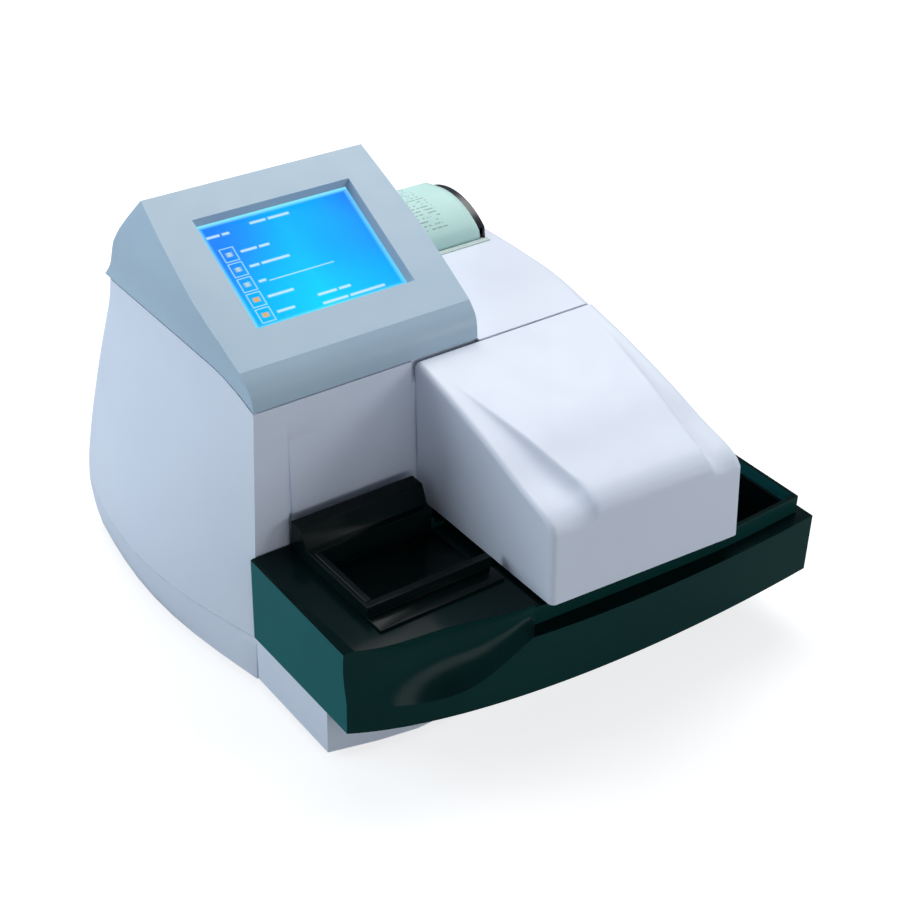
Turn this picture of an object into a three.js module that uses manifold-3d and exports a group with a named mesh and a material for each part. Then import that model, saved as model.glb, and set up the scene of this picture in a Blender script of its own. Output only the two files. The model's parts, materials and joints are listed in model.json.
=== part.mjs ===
// Bench urine analyzer: a two-part housing with a sloped display head, a printer in the rear deck, a hinged
// cover over the scanning optics, and a pull-out tray that holds the strip platform and the waste bin.
// Lengths are in millimetres and angles in degrees. While the parts are built, x runs right from the head's
// front left corner, y runs back from the front seam, and z runs up from the bench. The finished group is
// moved so that its origin is the middle of its underside.
import * as THREE from "three";
import { mergeVertices } from "three/addons/utils/BufferGeometryUtils.js";
import Module from "manifold-3d";

const wasm = await Module();
wasm.setup();

// Clearances and walls shared by all parts
const clearance = 0.3;
const seamGap = 0.6;
const overrun = 6;
const shellWall = 3;
const sheetThickness = 1.6;

// Housing
const footHeight = 3.7;
const baseHeight = 38.7;
const toeLip = 3;
const toeHeight = baseHeight + toeLip;
const toeReach = 104;
const toeSideReach = 90;
const bodyWidth = 276;
const frontWall = 6;
const deckHeight = 222;
const frontSeamDrop = 5;
const backSeamRise = 4.5;
const frontSeamHeight = deckHeight - frontSeamDrop;
const backSeamHeight = deckHeight + backSeamRise;
const seamRun = 52;
const topDepth = 207;
const backSlope = 41;
const lowDepth = topDepth + backSlope;
const frontLean = 6;
const rightLean = 4;
const leftBulge = 20;
const leftFlare = 6;
const rightBulge = 5;
const cornerRadius = 12;
const panelStrip = 24;
const panelRecess = 3;
const panelLow = 126;
const panelFadeDrop = 17;
const panelFade = frontSeamHeight - panelFadeDrop;
const footRadius = 10;
const footStemRadius = 2.6;
const footInset = 24;

// Display head
const headWidth = 175.4;
const headGap = 1.6;
const headBulge = 3.5;
const headLipHeight = 24;
const foldDepth = 13.5;
const foldHeight = frontSeamHeight + headLipHeight;
const faceRise = 68;
const faceRun = 126.5;
const headTopHeight = foldHeight + faceRise;
const headTopDepth = foldDepth + faceRun;
const headSetback = 1;
const headBackDepth = topDepth - headSetback;
const windowLeft = 27;
const windowWidth = 122;
const windowHeight = 92;
const windowDrop = 24.9;
const windowDepth = 5.5;
const frameLip = 4;
const glassThickness = 1.5;
const lcdThickness = 8;
const lcdMargin = 3;
const displayBoardGap = 7;
const boardThickness = 1.6;
const screwRadius = 1.5;
const screwHeadRadius = 3;
const screwLength = 8;
const screwHeadHeight = 1.8;

// Rear deck and printer
const deckSkirt = 16;
const deckSkirtHeight = deckHeight - deckSkirt;
const deckRounding = 8;
const deckSetback = 3;
const deckLip = 1.2;
const bayInset = 25;
const bayWidth = 67.2;
const bayMargin = 5.2;
const bayLength = 93.8;
const bayLeft = headWidth + bayInset;
const bayRight = bayLeft + bayWidth;
const bayBack = topDepth - bayMargin;
const bayFront = bayBack - bayLength;
const lidRadius = 60;
const lidCentreSetback = 46.8;
const lidCentreDrop = 37;
const lidCentreDepth = bayBack - lidCentreSetback;
const lidCentreHeight = deckHeight - lidCentreDrop;
const lidFrontTurn = 131;
const lidBackTurn = 47;
const lidInnerTurn = 1.5;
const lidWall = 2.5;
const lidCheek = 2;
const lidLug = 3;
const lidPivotRadius = 3;
const lidPivotSetback = 3.8;
const lidPivotDepth = bayBack - lidPivotSetback;
const lidPivotHeight = deckHeight - lidPivotRadius;
const lidPivotTopTurn = 80;
const lidPivotLowTurn = -90;
const lidPinRadius = 1.3;
const paperWidth = 57;
const paperThickness = 0.4;
const paperLift = 0.35;
const paperEndLength = 18;
const paperFrontTurn = 128;
const paperBackTurn = 80;
const paperEndTurn = 10;
const rollRadius = 24;
const rollSetback = 41.3;
const rollDrop = 19;
const rollDepth = bayBack - rollSetback;
const rollHeight = deckHeight - rollDrop;
const rollBore = 6;
const spindleRadius = 4;
const platenRadius = 5;
const platenSetback = 10.2;
const platenDrop = 4.5;
const platenDepth = bayFront + platenSetback;
const platenHeight = deckHeight - platenDrop;
const platenShaftRadius = 2;
const gearModule = 1;
const platenTeeth = 10;
const feedTeeth = 18;
const gearWidth = 2.2;
const feedMotorRadius = 8.4;
const feedMotorLength = 22;
const chassisDrop = 50;
const chassisFloor = deckHeight - chassisDrop;
const chassisGap = 4;
const thermalHeadThickness = 3.5;
const thermalHeadHeight = 7.5;
const tearBarRise = 1.5;
const tearBarThickness = 3;

// Hinged cover
const coverLeft = 124;
const coverRight = bodyWidth;
const coverLeftDraft = 4.5;
const coverRightDraft = 8;
const trayTop = 108;
const coverRecess = 2;
const coverBottom = trayTop - coverRecess;
const coverTopDrop = 5.4;
const coverTop = deckHeight - coverTopDrop;
const coverReach = 154;
const coverFall = 49.6;
const coverWall = 2.5;
const coverRounding = 4;
const coverSkew = 4.5;
const scallopWidth = 34;
const scallopDepth = 5;
const scallopValley = 4;
const hingeSetback = 4.2;
const hingeDrop = 6.4;
const hingeDepth = -hingeSetback;
const hingeHeight = coverTop - hingeDrop;
const hingePinRadius = 1.3;
const hingeLugRadius = 2.6;
const hingeLugWidth = 5;
const hingeBossRadius = 3;
const hingeBossWidth = 6;
const hingeInset = 18;
const hingePlateWidth = 20;
const hingePlateHeight = 16;

// Pull-out tray
const trayOverhang = 7;
const trayReach = 86;
const trayGap = 1;
const trayLeft = -trayOverhang;
const trayRight = bodyWidth + trayReach;
const trayRear = -trayGap;
const ledgeDrop = 19;
const rimDrop = 5;
const trayLedge = trayTop - ledgeDrop;
const trayRim = trayTop - rimDrop;
const trayWall = 3;
const trayFrontLeft = 117;
const trayFrontMiddle = 168;
const trayFrontRight = 156;
const dividerOffset = 3;
const dividerWidth = 10;
const dividerLeft = coverLeft - dividerOffset;
const dividerRight = dividerLeft + dividerWidth;
const rimFrontLeft = 142;
const rimFrontMiddle = 149;
const rimFrontRight = 146;
const rimInset = 7;
const wellRear = 6;
const leftWellLeft = 21.3;
const leftWellWall = 2;
const leftWellRight = dividerLeft - leftWellWall;
const leftWellFront = 113;
const scoopSpan = 137;
const scoopDrop = 49;
const scoopReach = 16;
const landChamfer = 6;
const landChamferDepth = 4;

// Strip platform, pusher, reading stage, comb and waste bin
const platformTopLift = 10;
const platformStepLift = 2;
const platformRiseLift = 23;
const platformTop = trayTop + platformTopLift;
const platformStep = trayTop + platformStepLift;
const platformStepDepth = 15;
const platformRise = trayTop + platformRiseLift;
const platformRiseDepth = 18;
const bedDepth = 18;
const bedFloor = platformTop - bedDepth;
const bedFront = 92;
const bedBack = 30;
const bedWallLeft = 2.4;
const pusherWidth = 5.6;
const stageDrop = 1;
const stageMargin = 3;
const stageOverhang = 9;
const stageTop = bedFloor - stageDrop;
const stageFront = bedFront + stageMargin;
const stageBack = bedBack - stageMargin;
const stageRight = coverRight + stageOverhang;
const stageWall = 3;
const combBar = 3;
const combHeight = 13;
const combLift = 4;
const combInset = 16;
const combTop = stageTop + combLift;
const combLeft = coverLeft + combInset;
const combLength = 122;
const combPaddles = 8;
const combPaddle = 2;
const combPaddleReach = 15;
const combPaddleHeight = 3;
const binDrop = 14;
const binTop = trayTop - binDrop;
const binGap = 3.3;
const binWall = 1.6;
const binLip = 3;

// Scanning optics under the cover
const gantryLeftInset = 26;
const gantryRightInset = 14;
const gantryLeft = coverLeft + gantryLeftInset;
const gantryRight = coverRight - gantryRightInset;
const gantryFront = 128;
const gantryBack = 0.4;
const gantryPlate = 2.8;
const gantryLift = 12;
const gantryLow = coverBottom + gantryLift;
const gantryArm = 2;
const gantryArmHeight = 8;
const gantryHeight = 43.2;
const gantryTop = gantryLow + gantryHeight;
const gantryShelf = 2.2;
const rodRadius = 3;
const rodLift = 14;
const rodHeight = gantryLow + rodLift;
const rodInset = 18;
const scannerDepth = 30;
const scannerLift = 9;
const scannerHeight = 41;
const scannerLow = stageTop + scannerLift;
const scannerTop = scannerLow + scannerHeight;
const scannerSide = 6;
const scannerHome = 6;
const scannerWindow = 12;
const scannerWindowThickness = 1.5;
const pulleyRadius = 5.6;
const pulleyHeight = 6;
const pulleyFlange = 1;
const beltThickness = 1;
const beltWidth = 5;
const beltDrop = 6.2;
const beltHeight = gantryTop - beltDrop;
const drivePulleyDepth = 16;
const idlerPulleyDepth = 114;
const scanMotorRadius = 12;
const scanMotorLength = 20;
const shaftRadius = 2;
const shelfLength = 28;
const shelfWidth = 32;
const beltClamp = 3;

// Electronics and rear panel
const panelLeft = 64;
const panelWidth = 152;
const panelBottom = 59;
const panelHeight = 72;
const panelSetback = 19;
const panelDepth = topDepth + panelSetback;
const panelFlange = 4;
const panelSeat = 9;
const inletWidth = 28;
const inletHeight = 31;
const inletDepth = 18;
const inletWall = 2;
const portWidth = 31;
const portHeight = 12.5;
const portDepth = 10;
const switchWidth = 14;
const switchHeight = 21;
const switchDepth = 12;
const switchTravelGap = 1.2;
const slotWidth = 4;
const slotPitch = 9;
const mainBoardWidth = 150;
const mainBoardDepth = 150;
const boardStandoff = 6;
const standoffRadius = 3.5;
const supplyWidth = 60;
const supplyDepth = 130;
const supplyHeight = 38;

const materials = {
  housing: material(0xd3dcea, 0.45),
  front: material(0x9aa5b4, 0.5),
  tray: material(0x17403f, 0.25),
  black: material(0x0c1413, 0.25),
  rubber: material(0x202020, 0.9),
  steel: material(0xb4b8bc, 0.35, 0.9),
  aluminium: material(0xc4c8cc, 0.4, 0.8),
  screen: material(0x17a6f5, 0.2),
  glass: material(0xbfe4f5, 0.1),
  board: material(0x1f6b3a, 0.6),
  paper: material(0xcfe6dd, 0.8),
  nylon: material(0xe6e6e0, 0.5),
};

const analyzer = new THREE.Group();

function material(color, roughness, metalness = 0) {
  return new THREE.MeshStandardMaterial({ color, roughness, metalness, flatShading: true });
}

// Solids: a closed geometry becomes a solid that can be joined and cut
function solid(geometry) {
  const bare = geometry.clone();
  bare.deleteAttribute("normal");
  bare.deleteAttribute("uv");
  const merged = mergeVertices(bare, 1e-4);
  return new wasm.Manifold(
    new wasm.Mesh({
      numProp: 3,
      vertProperties: merged.attributes.position.array,
      triVerts: new Uint32Array(merged.index.array),
    }),
  );
}

function joined(first, ...others) {
  return others.reduce((whole, other) => whole.add(other), first);
}

function cut(first, ...others) {
  return others.reduce((whole, other) => whole.subtract(other), first);
}

function part(name, shape, look, group = analyzer) {
  const mesh = shape.getMesh();
  const geometry = new THREE.BufferGeometry();
  geometry.setAttribute("position", new THREE.BufferAttribute(new Float32Array(mesh.vertProperties), 3));
  geometry.setIndex(new THREE.BufferAttribute(new Uint32Array(mesh.triVerts), 1));
  geometry.computeVertexNormals();
  const made = new THREE.Mesh(geometry, look);
  made.name = name;
  group.add(made);
  return made;
}

function mix(from, to, share) {
  return from + (to - from) * share;
}

function between(table, x) {
  const next = Math.max(1, table.findIndex(([place], i) => i > 0 && place >= x));
  const [before, after] = [table[next - 1], table[next]];
  const share = THREE.MathUtils.clamp((x - before[0]) / (after[0] - before[0]), 0, 1);
  return before.map((value, i) => mix(value, after[i], share));
}

// Rows of two or three shares on a smooth curve through the given rows
function smoothed(rows, steps) {
  const points = rows.map(([a, b, c = 0]) => new THREE.Vector3(a, b, c));
  const curve = new THREE.CatmullRomCurve3(points);
  return curve.getPoints(steps).map((p) => [p.x, p.y, p.z].slice(0, rows[0].length));
}

function block(x0, x1, y0, y1, z0, z1) {
  const geometry = new THREE.BoxGeometry(x1 - x0, y1 - y0, z1 - z0);
  return solid(geometry.translate((x0 + x1) / 2, (y0 + y1) / 2, (z0 + z1) / 2));
}

function prism(outline, depth) {
  const shape = new THREE.Shape(outline.map(([a, b]) => new THREE.Vector2(a, b)));
  return new THREE.ExtrudeGeometry(shape, { depth, bevelEnabled: false });
}

function alongX(outline, x0, x1) {
  const basis = new THREE.Matrix4().makeBasis(
    new THREE.Vector3(0, 1, 0),
    new THREE.Vector3(0, 0, 1),
    new THREE.Vector3(1, 0, 0),
  );
  return solid(prism(outline, x1 - x0).applyMatrix4(basis).translate(x0, 0, 0));
}

function alongY(outline, y0, y1) {
  return solid(prism(outline, y1 - y0).rotateX(Math.PI / 2).translate(0, y1, 0));
}

function alongZ(outline, z0, z1) {
  return solid(prism(outline, z1 - z0).translate(0, 0, z0));
}

function rodX(y, z, radius, x0, x1, sides = 16) {
  const geometry = new THREE.CylinderGeometry(radius, radius, x1 - x0, sides);
  return solid(geometry.rotateZ(Math.PI / 2).translate((x0 + x1) / 2, y, z));
}

function rodY(x, z, radius, y0, y1, sides = 16) {
  const geometry = new THREE.CylinderGeometry(radius, radius, y1 - y0, sides);
  return solid(geometry.translate(x, (y0 + y1) / 2, z));
}

function rodZ(x, y, radius, z0, z1, sides = 16) {
  const geometry = new THREE.CylinderGeometry(radius, radius, z1 - z0, sides);
  return solid(geometry.rotateX(Math.PI / 2).translate(x, y, (z0 + z1) / 2));
}

function arc(centreA, centreB, radius, from, to, steps) {
  return Array.from({ length: steps + 1 }, (_, i) => {
    const angle = THREE.MathUtils.degToRad(mix(from, to, i / steps));
    return [centreA + radius * Math.cos(angle), centreB + radius * Math.sin(angle)];
  });
}

// A solid through rings with the same number of points. flat picks the two coordinates that the end rings
// are filled in.
function loft(rings, flat) {
  const count = rings[0].length;
  const positions = rings.flat().flatMap((p) => [p.x, p.y, p.z]);
  const faces = [];
  for (let ring = 0; ring + 1 < rings.length; ring++) {
    for (let i = 0; i < count; i++) {
      const a = ring * count + i;
      const b = ring * count + ((i + 1) % count);
      faces.push(a, b, b + count, a, b + count, a + count);
    }
  }
  const fill = (ring) => {
    const outline = ring.map((p) => new THREE.Vector2(p[flat[0]], p[flat[1]]));
    const turned = THREE.ShapeUtils.isClockWise(outline);
    return THREE.ShapeUtils.triangulateShape(outline, []).map(([a, b, c]) => (turned ? [a, c, b] : [a, b, c]));
  };
  const last = count * (rings.length - 1);
  fill(rings[0]).forEach(([a, b, c]) => faces.push(a, c, b));
  fill(rings[rings.length - 1]).forEach(([a, b, c]) => faces.push(last + a, last + b, last + c));
  const geometry = new THREE.BufferGeometry();
  geometry.setAttribute("position", new THREE.Float32BufferAttribute(positions, 3));
  geometry.setIndex(faces);
  const made = solid(geometry);
  if (made.volume() > 0) return made;
  geometry.setIndex(faces.reverse());
  return solid(geometry);
}

function insetOutline(outline, distance) {
  return outline.map(([a, b], i) => {
    const [pa, pb] = outline[(i + outline.length - 1) % outline.length];
    const [na, nb] = outline[(i + 1) % outline.length];
    const before = new THREE.Vector2(a - pa, b - pb).normalize();
    const after = new THREE.Vector2(na - a, nb - b).normalize();
    const normal = new THREE.Vector2(-before.y - after.y, before.x + after.x);
    const scale = distance / (1 + before.dot(after));
    return [a + normal.x * scale, b + normal.y * scale];
  });
}

// Housing
function cornerAt(z) {
  return -frontLean * ((backSeamHeight - z) / (backSeamHeight - baseHeight)) + frontLean / 6;
}

function rightAt(z) {
  return bodyWidth + rightLean * ((backSeamHeight - z) / (backSeamHeight - baseHeight));
}

function housingRing(z, bulgeShare, depthShare, inset, front) {
  const depth = mix(topDepth, lowDepth, depthShare);
  const leftAt = (y) => {
    const share = y / depth;
    const swell = leftBulge * Math.sin(Math.PI * share) + leftFlare * share;
    return cornerAt(z) - bulgeShare * swell + inset;
  };
  const rightSideAt = (y) => rightAt(z) + rightBulge * Math.sin((Math.PI * y) / depth) - inset;
  const radius = cornerRadius - inset;
  const back = depth - inset;
  const sideShares = [0.08, 0.18, 0.3, 0.42, 0.54, 0.66, 0.78, 0.9];
  const turnShares = [0, 0.17, 0.33, 0.5, 0.67, 0.83, 1];
  const ring = [new THREE.Vector3(cornerAt(z) + inset, front, z)];
  ring.push(new THREE.Vector3(rightAt(z) - inset, front, z));
  sideShares.forEach((share) => {
    const y = mix(front, back - radius, share);
    ring.push(new THREE.Vector3(rightSideAt(y), y, z));
  });
  turnShares.forEach((share) => {
    const turn = (share * Math.PI) / 2;
    const x = rightSideAt(back - radius) - radius * (1 - Math.cos(turn));
    ring.push(new THREE.Vector3(x, back - radius * (1 - Math.sin(turn)), z));
  });
  [...turnShares].reverse().forEach((share) => {
    const turn = (share * Math.PI) / 2;
    const x = leftAt(back - radius) + radius * (1 - Math.cos(turn));
    ring.push(new THREE.Vector3(x, back - radius * (1 - Math.sin(turn)), z));
  });
  [...sideShares].reverse().forEach((share) => {
    const y = mix(front, back - radius, share);
    ring.push(new THREE.Vector3(leftAt(y), y, z));
  });
  return ring;
}

// Height share up the body, share of the side bulge, share of the extra depth
const bodyLevelShares = smoothed(
  [
    [0, 1, 1],
    [0.12, 1, 0.95],
    [0.32, 0.86, 0.76],
    [0.59, 0.52, 0.46],
    [0.8, 0.2, 0.2],
    [0.9, 0.06, 0.07],
    [1, 0, 0],
  ],
  16,
);
const baseLevelShares = smoothed(
  [
    [0, 0.7, 0.7],
    [0.4, 0.86, 0.88],
    [1, 1, 1],
  ],
  5,
);

function housingLoft(levelShares, bottom, top, inset, front, bottomExtra, topExtra) {
  const rings = levelShares.map(([share, bulge, depth]) =>
    housingRing(mix(bottom, top, share), bulge, depth, inset, front),
  );
  const stretch = (ring, dz) => ring.map((p) => p.clone().add(new THREE.Vector3(0, 0, dz)));
  if (bottomExtra) rings.unshift(stretch(rings[0], -bottomExtra));
  if (topExtra) rings.push(stretch(rings[rings.length - 1], topExtra));
  return loft(rings, ["x", "y"]);
}

const seamOutline = [
  [0, frontSeamHeight],
  [seamRun / 3, mix(frontSeamHeight, backSeamHeight, 0.5)],
  [(seamRun * 2) / 3, mix(frontSeamHeight, backSeamHeight, 0.85)],
  [seamRun, backSeamHeight],
  [headBackDepth, backSeamHeight],
];
const housingMiddle = headWidth / 2;
const deckLeft = headWidth + headGap;

// Share of the toe's reach to the right, share of the way from its side reach to its full reach
const toeFrontShares = [
  [0, 0],
  [0.333, 0.65],
  [0.6, 1],
];

function basePan() {
  const outer = housingLoft(baseLevelShares, footHeight + clearance, baseHeight, 0, 0, 0, 0);
  const toeLeft = cornerAt(baseHeight);
  const toeRight = rightAt(baseHeight);
  const toeOutline = (inset, back) => [
    [toeLeft + inset, back],
    ...toeFrontShares.map(([across, reach]) => [
      toeLeft + Math.max(inset, toeReach * across),
      inset - mix(toeSideReach, toeReach, reach),
    ]),
    [toeRight - inset, -toeReach + inset],
    [toeRight - inset, back],
  ];
  const floor = footHeight + clearance;
  const toe = joined(
    alongZ(toeOutline(0, frontWall), floor, baseHeight),
    alongZ(toeOutline(0, -seamGap), baseHeight - shellWall, toeHeight),
  );
  const hollow = housingLoft(baseLevelShares, floor + shellWall, baseHeight, shellWall, shellWall, 0, overrun);
  const toeHollow = alongZ(
    toeOutline(shellWall, frontWall + overrun),
    floor + shellWall,
    baseHeight - shellWall,
  );
  const holes = footPlaces.map(([x, y]) => rodZ(x, y, footStemRadius + clearance, 0, floor + overrun, 12));
  const standoffTop = floor + shellWall + boardStandoff;
  const standoffs = boardCorners.map(([x, y]) => rodZ(x, y, standoffRadius, floor, standoffTop, 10));
  return joined(cut(joined(outer, toe), hollow, toeHollow, ...holes), ...standoffs);
}

const footPlaces = [
  [footInset, footInset - toeSideReach],
  [bodyWidth - footInset, footInset - toeSideReach],
  [footInset, topDepth - footInset / 2],
  [bodyWidth - footInset, topDepth - footInset / 2],
];
const baseFloorTop = footHeight + clearance + shellWall;
const mainBoardLeft = footInset + footRadius;
const mainBoardFront = footInset;
const boardCorners = [
  [mainBoardLeft + footRadius, mainBoardFront + footRadius],
  [mainBoardLeft + mainBoardWidth - footRadius, mainBoardFront + footRadius],
  [mainBoardLeft + footRadius, mainBoardFront + mainBoardDepth - footRadius],
  [mainBoardLeft + mainBoardWidth - footRadius, mainBoardFront + mainBoardDepth - footRadius],
];

function foot() {
  const profile = [
    [0, 0],
    [footRadius * 0.88, 0],
    [footRadius, footHeight * 0.4],
    [footRadius, footHeight],
    [footStemRadius, footHeight],
    [footStemRadius, baseFloorTop + footHeight / 2],
    [0, baseFloorTop + footHeight / 2],
  ].map(([r, z]) => new THREE.Vector2(r, z));
  return solid(new THREE.LatheGeometry(profile, 20).rotateX(Math.PI / 2));
}

function bodyShell() {
  const bottom = baseHeight + seamGap;
  const outer = housingLoft(bodyLevelShares, bottom, backSeamHeight, 0, 0, 0, overrun);
  const inner = housingLoft(
    bodyLevelShares,
    bottom,
    backSeamHeight,
    shellWall,
    frontWall,
    overrun,
    overrun * 2,
  );
  const aboveSeam = alongX(
    [
      [-overrun, frontSeamHeight],
      ...seamOutline,
      [lowDepth + overrun, backSeamHeight],
      [lowDepth + overrun, backSeamHeight + overrun * 3],
      [-overrun, backSeamHeight + overrun * 3],
    ],
    -leftBulge * 2,
    deckLeft,
  );
  const aboveDeckSkirt = block(
    deckLeft - seamGap * 2,
    bodyWidth + overrun * 3,
    -overrun,
    lowDepth,
    deckSkirtHeight - seamGap,
    backSeamHeight + overrun * 3,
  );
  const coverRelief = block(
    coverLeft - coverWall,
    bodyWidth + overrun * 3,
    -overrun,
    frontWall / 2,
    deckSkirtHeight - coverWall,
    backSeamHeight,
  );
  const recess = alongX(
    [
      [-overrun, panelLow],
      [panelRecess, panelLow],
      [0, panelFade],
      [-overrun, panelFade],
    ],
    panelStrip,
    coverLeft + coverLeftDraft,
  );
  const frame = block(
    panelLeft - panelFlange,
    panelLeft + panelWidth + panelFlange,
    panelDepth - shellWall,
    lowDepth,
    panelBottom - panelFlange,
    panelBottom + panelHeight + panelFlange,
  ).intersect(outer);
  const opening = block(
    panelLeft,
    panelLeft + panelWidth,
    panelDepth,
    lowDepth + overrun,
    panelBottom,
    panelBottom + panelHeight,
  );
  const innerOpening = block(
    panelLeft + panelSeat,
    panelLeft + panelWidth - panelSeat,
    panelDepth - shellWall - overrun,
    panelDepth + overrun,
    panelBottom + panelSeat,
    panelBottom + panelHeight - panelSeat,
  );
  const walls = joined(cut(outer, inner), frame);
  const holes = panelScrewHoles();
  return cut(walls, aboveSeam, aboveDeckSkirt, coverRelief, recess, opening, innerOpening, ...holes);
}

// Display head: an outline in the y-z plane whose sides swell by headBulge half way up
const faceSlope = THREE.MathUtils.radToDeg(
  Math.atan2(headTopHeight - foldHeight, headTopDepth - foldDepth),
);
const faceLength = Math.hypot(headTopHeight - foldHeight, headTopDepth - foldDepth);
const windowTop = faceLength - windowDrop;
const windowBottom = windowTop - windowHeight;
const headBackShares = [
  [0.48, 0.575],
  [0.8, 0.19],
];
const lipShares = [
  [0.04, 0.3],
  [0.3, 0.68],
];
const faceShares = [0.2, 0.4, 0.6, 0.8];

function headOutline() {
  const low = seamGap;
  const bottom = seamOutline.map(([y, z]) => [y, z + low]);
  const back = headBackShares.map(([out, up]) => [
    mix(headTopDepth, headBackDepth, out),
    mix(backSeamHeight, headTopHeight, up),
  ]);
  const face = [...faceShares].reverse().map((share) => [
    mix(foldDepth, headTopDepth, share),
    mix(foldHeight, headTopHeight, share),
  ]);
  const lip = [...lipShares].reverse().map(([out, up]) => [
    foldDepth * out,
    mix(frontSeamHeight + low, foldHeight, up),
  ]);
  return [
    ...bottom,
    ...back.reverse(),
    [headTopDepth, headTopHeight],
    ...face,
    [foldDepth, foldHeight],
    ...lip,
  ];
}

function headSwell(z) {
  const share = THREE.MathUtils.clamp((z - frontSeamHeight) / (headTopHeight - frontSeamHeight), 0, 1);
  return headBulge * Math.sin(Math.PI * share) - (headBulge / 2) * share ** 4;
}

function headLoft(outline, inset) {
  const side = (direction) =>
    outline.map(([y, z]) => {
      const half = headWidth / 2 + headSwell(z) - inset;
      return new THREE.Vector3(housingMiddle + direction * half, y, z);
    });
  return loft([side(-1), side(1)], ["y", "z"]);
}

function onFace(shape) {
  return shape.rotate([faceSlope, 0, 0]).translate([0, foldDepth, foldHeight]);
}

function headShell() {
  const outline = headOutline();
  const inner = insetOutline(outline, shellWall).map(([y, z], i) =>
    i < seamOutline.length ? [y, z - shellWall - overrun] : [y, z],
  );
  const skirt = block(
    headWidth - shellWall,
    headWidth,
    frontWall + seamGap,
    headBackDepth - cornerRadius,
    deckSkirtHeight + seamGap,
    backSeamHeight + overrun,
  );
  const frame = onFace(
    block(
      windowLeft - frameLip,
      windowLeft + windowWidth + frameLip,
      windowBottom - frameLip,
      windowTop + frameLip,
      -windowDepth,
      -shellWall / 2,
    ),
  );
  const opening = onFace(
    block(
      windowLeft,
      windowLeft + windowWidth,
      windowBottom,
      windowTop,
      -windowDepth - overrun,
      overrun,
    ),
  );
  const bosses = bracketScrewPlaces.map(([x, v]) =>
    onFace(rodZ(x, v, standoffRadius, bracketTop + clearance, -shellWall / 2, 10)),
  );
  const pilots = bracketScrewPlaces.map(([x, v]) =>
    onFace(rodZ(x, v, screwRadius + clearance, bracketTop - overrun, -shellWall, 10)),
  );
  const hollow = cut(headLoft(outline, 0), headLoft(inner, shellWall));
  return cut(joined(hollow, skirt, frame, ...bosses), opening, ...pilots);
}

// The display stack hangs under the window, given along the face and down from it
const glassTop = -windowDepth - clearance;
const lcdTop = glassTop - glassThickness - clearance;
const bracketTop = lcdTop - lcdThickness - clearance;
const displayBoardTop = bracketTop - sheetThickness - displayBoardGap;
const bracketEar = frameLip * 2 + standoffRadius;
const bracketScrewPlaces = [
  [windowLeft - bracketEar, windowBottom + windowHeight / 2],
  [windowLeft + windowWidth + bracketEar, windowBottom + windowHeight / 2],
];

function displayPlate(margin, top, thickness) {
  return block(
    windowLeft - margin,
    windowLeft + windowWidth + margin,
    windowBottom - margin,
    windowTop + margin,
    top - thickness,
    top,
  );
}

function displayBracket() {
  const plate = displayPlate(lcdMargin, bracketTop, sheetThickness);
  const ears = bracketScrewPlaces.map(([x, v]) =>
    block(
      Math.min(x - standoffRadius, windowLeft + windowWidth),
      Math.max(x + standoffRadius, windowLeft),
      v - standoffRadius,
      v + standoffRadius,
      bracketTop - sheetThickness,
      bracketTop,
    ),
  );
  const holes = bracketScrewPlaces.map(([x, v]) =>
    rodZ(x, v, screwRadius + clearance, bracketTop - overrun, bracketTop + overrun, 10),
  );
  const vent = block(
    windowLeft + windowWidth / 4,
    windowLeft + (windowWidth * 3) / 4,
    windowBottom + windowHeight / 4,
    windowTop - windowHeight / 4,
    bracketTop - overrun,
    bracketTop + overrun,
  );
  return cut(joined(plate, ...ears), ...holes, vent);
}

function displayBoard() {
  const left = windowLeft + windowWidth / 8;
  const right = windowLeft + (windowWidth * 7) / 8;
  const low = windowBottom + windowHeight / 8;
  const high = windowTop - windowHeight / 8;
  const board = block(left, right, low, high, displayBoardTop - boardThickness, displayBoardTop);
  const postTop = bracketTop - sheetThickness - clearance;
  const posts = [left + standoffRadius, right - standoffRadius].map((x) =>
    rodZ(x, low + standoffRadius, standoffRadius, displayBoardTop - boardThickness, postTop, 10),
  );
  const chip = block(
    mix(left, right, 0.35),
    mix(left, right, 0.6),
    mix(low, high, 0.35),
    mix(low, high, 0.65),
    displayBoardTop - boardThickness - lcdThickness / 3,
    displayBoardTop,
  );
  return joined(board, chip, ...posts);
}

function screw() {
  const profile = [
    [0, 0],
    [screwHeadRadius, 0],
    [screwHeadRadius, screwHeadHeight],
    [screwRadius, screwHeadHeight],
    [screwRadius, screwLength],
    [0, screwLength],
  ].map(([r, z]) => new THREE.Vector2(r, z));
  const turned = solid(new THREE.LatheGeometry(profile, 12).rotateX(Math.PI / 2));
  const slot = block(
    -screwHeadRadius * 2,
    screwHeadRadius * 2,
    -screwRadius / 4,
    screwRadius / 4,
    -screwHeadHeight / 2,
    screwHeadHeight / 2,
  );
  return cut(turned, slot);
}

// Rear deck
function deckRing(y, heightAt, inset) {
  const right = rightAt(deckSkirtHeight) + rightBulge * Math.sin((Math.PI * y) / topDepth) - inset;
  const top = heightAt - inset;
  const radius = Math.min(deckRounding, heightAt - deckSkirtHeight) - inset / 2;
  const low = deckSkirtHeight - (inset ? overrun : 0);
  const turn = arc(right - radius, top - radius, radius, 0, 90, 5);
  return [[deckLeft + inset, low], [right, low], ...turn, [deckLeft + inset, top]].map(
    ([x, z]) => new THREE.Vector3(x, y, z),
  );
}

const deckStationShares = [
  [0, 0],
  [0.08, 0.45],
  [0.16, 0.8],
  [0.21, 0.93],
  [0.26, 1],
  [0.38, 1],
  [0.5, 1],
  [0.62, 1],
  [0.74, 1],
  [0.84, 1],
  [0.93, 1],
  [0.955, 0.84],
  [0.975, 0.6],
  [0.99, 0.2],
  [1, -0.4],
];

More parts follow.
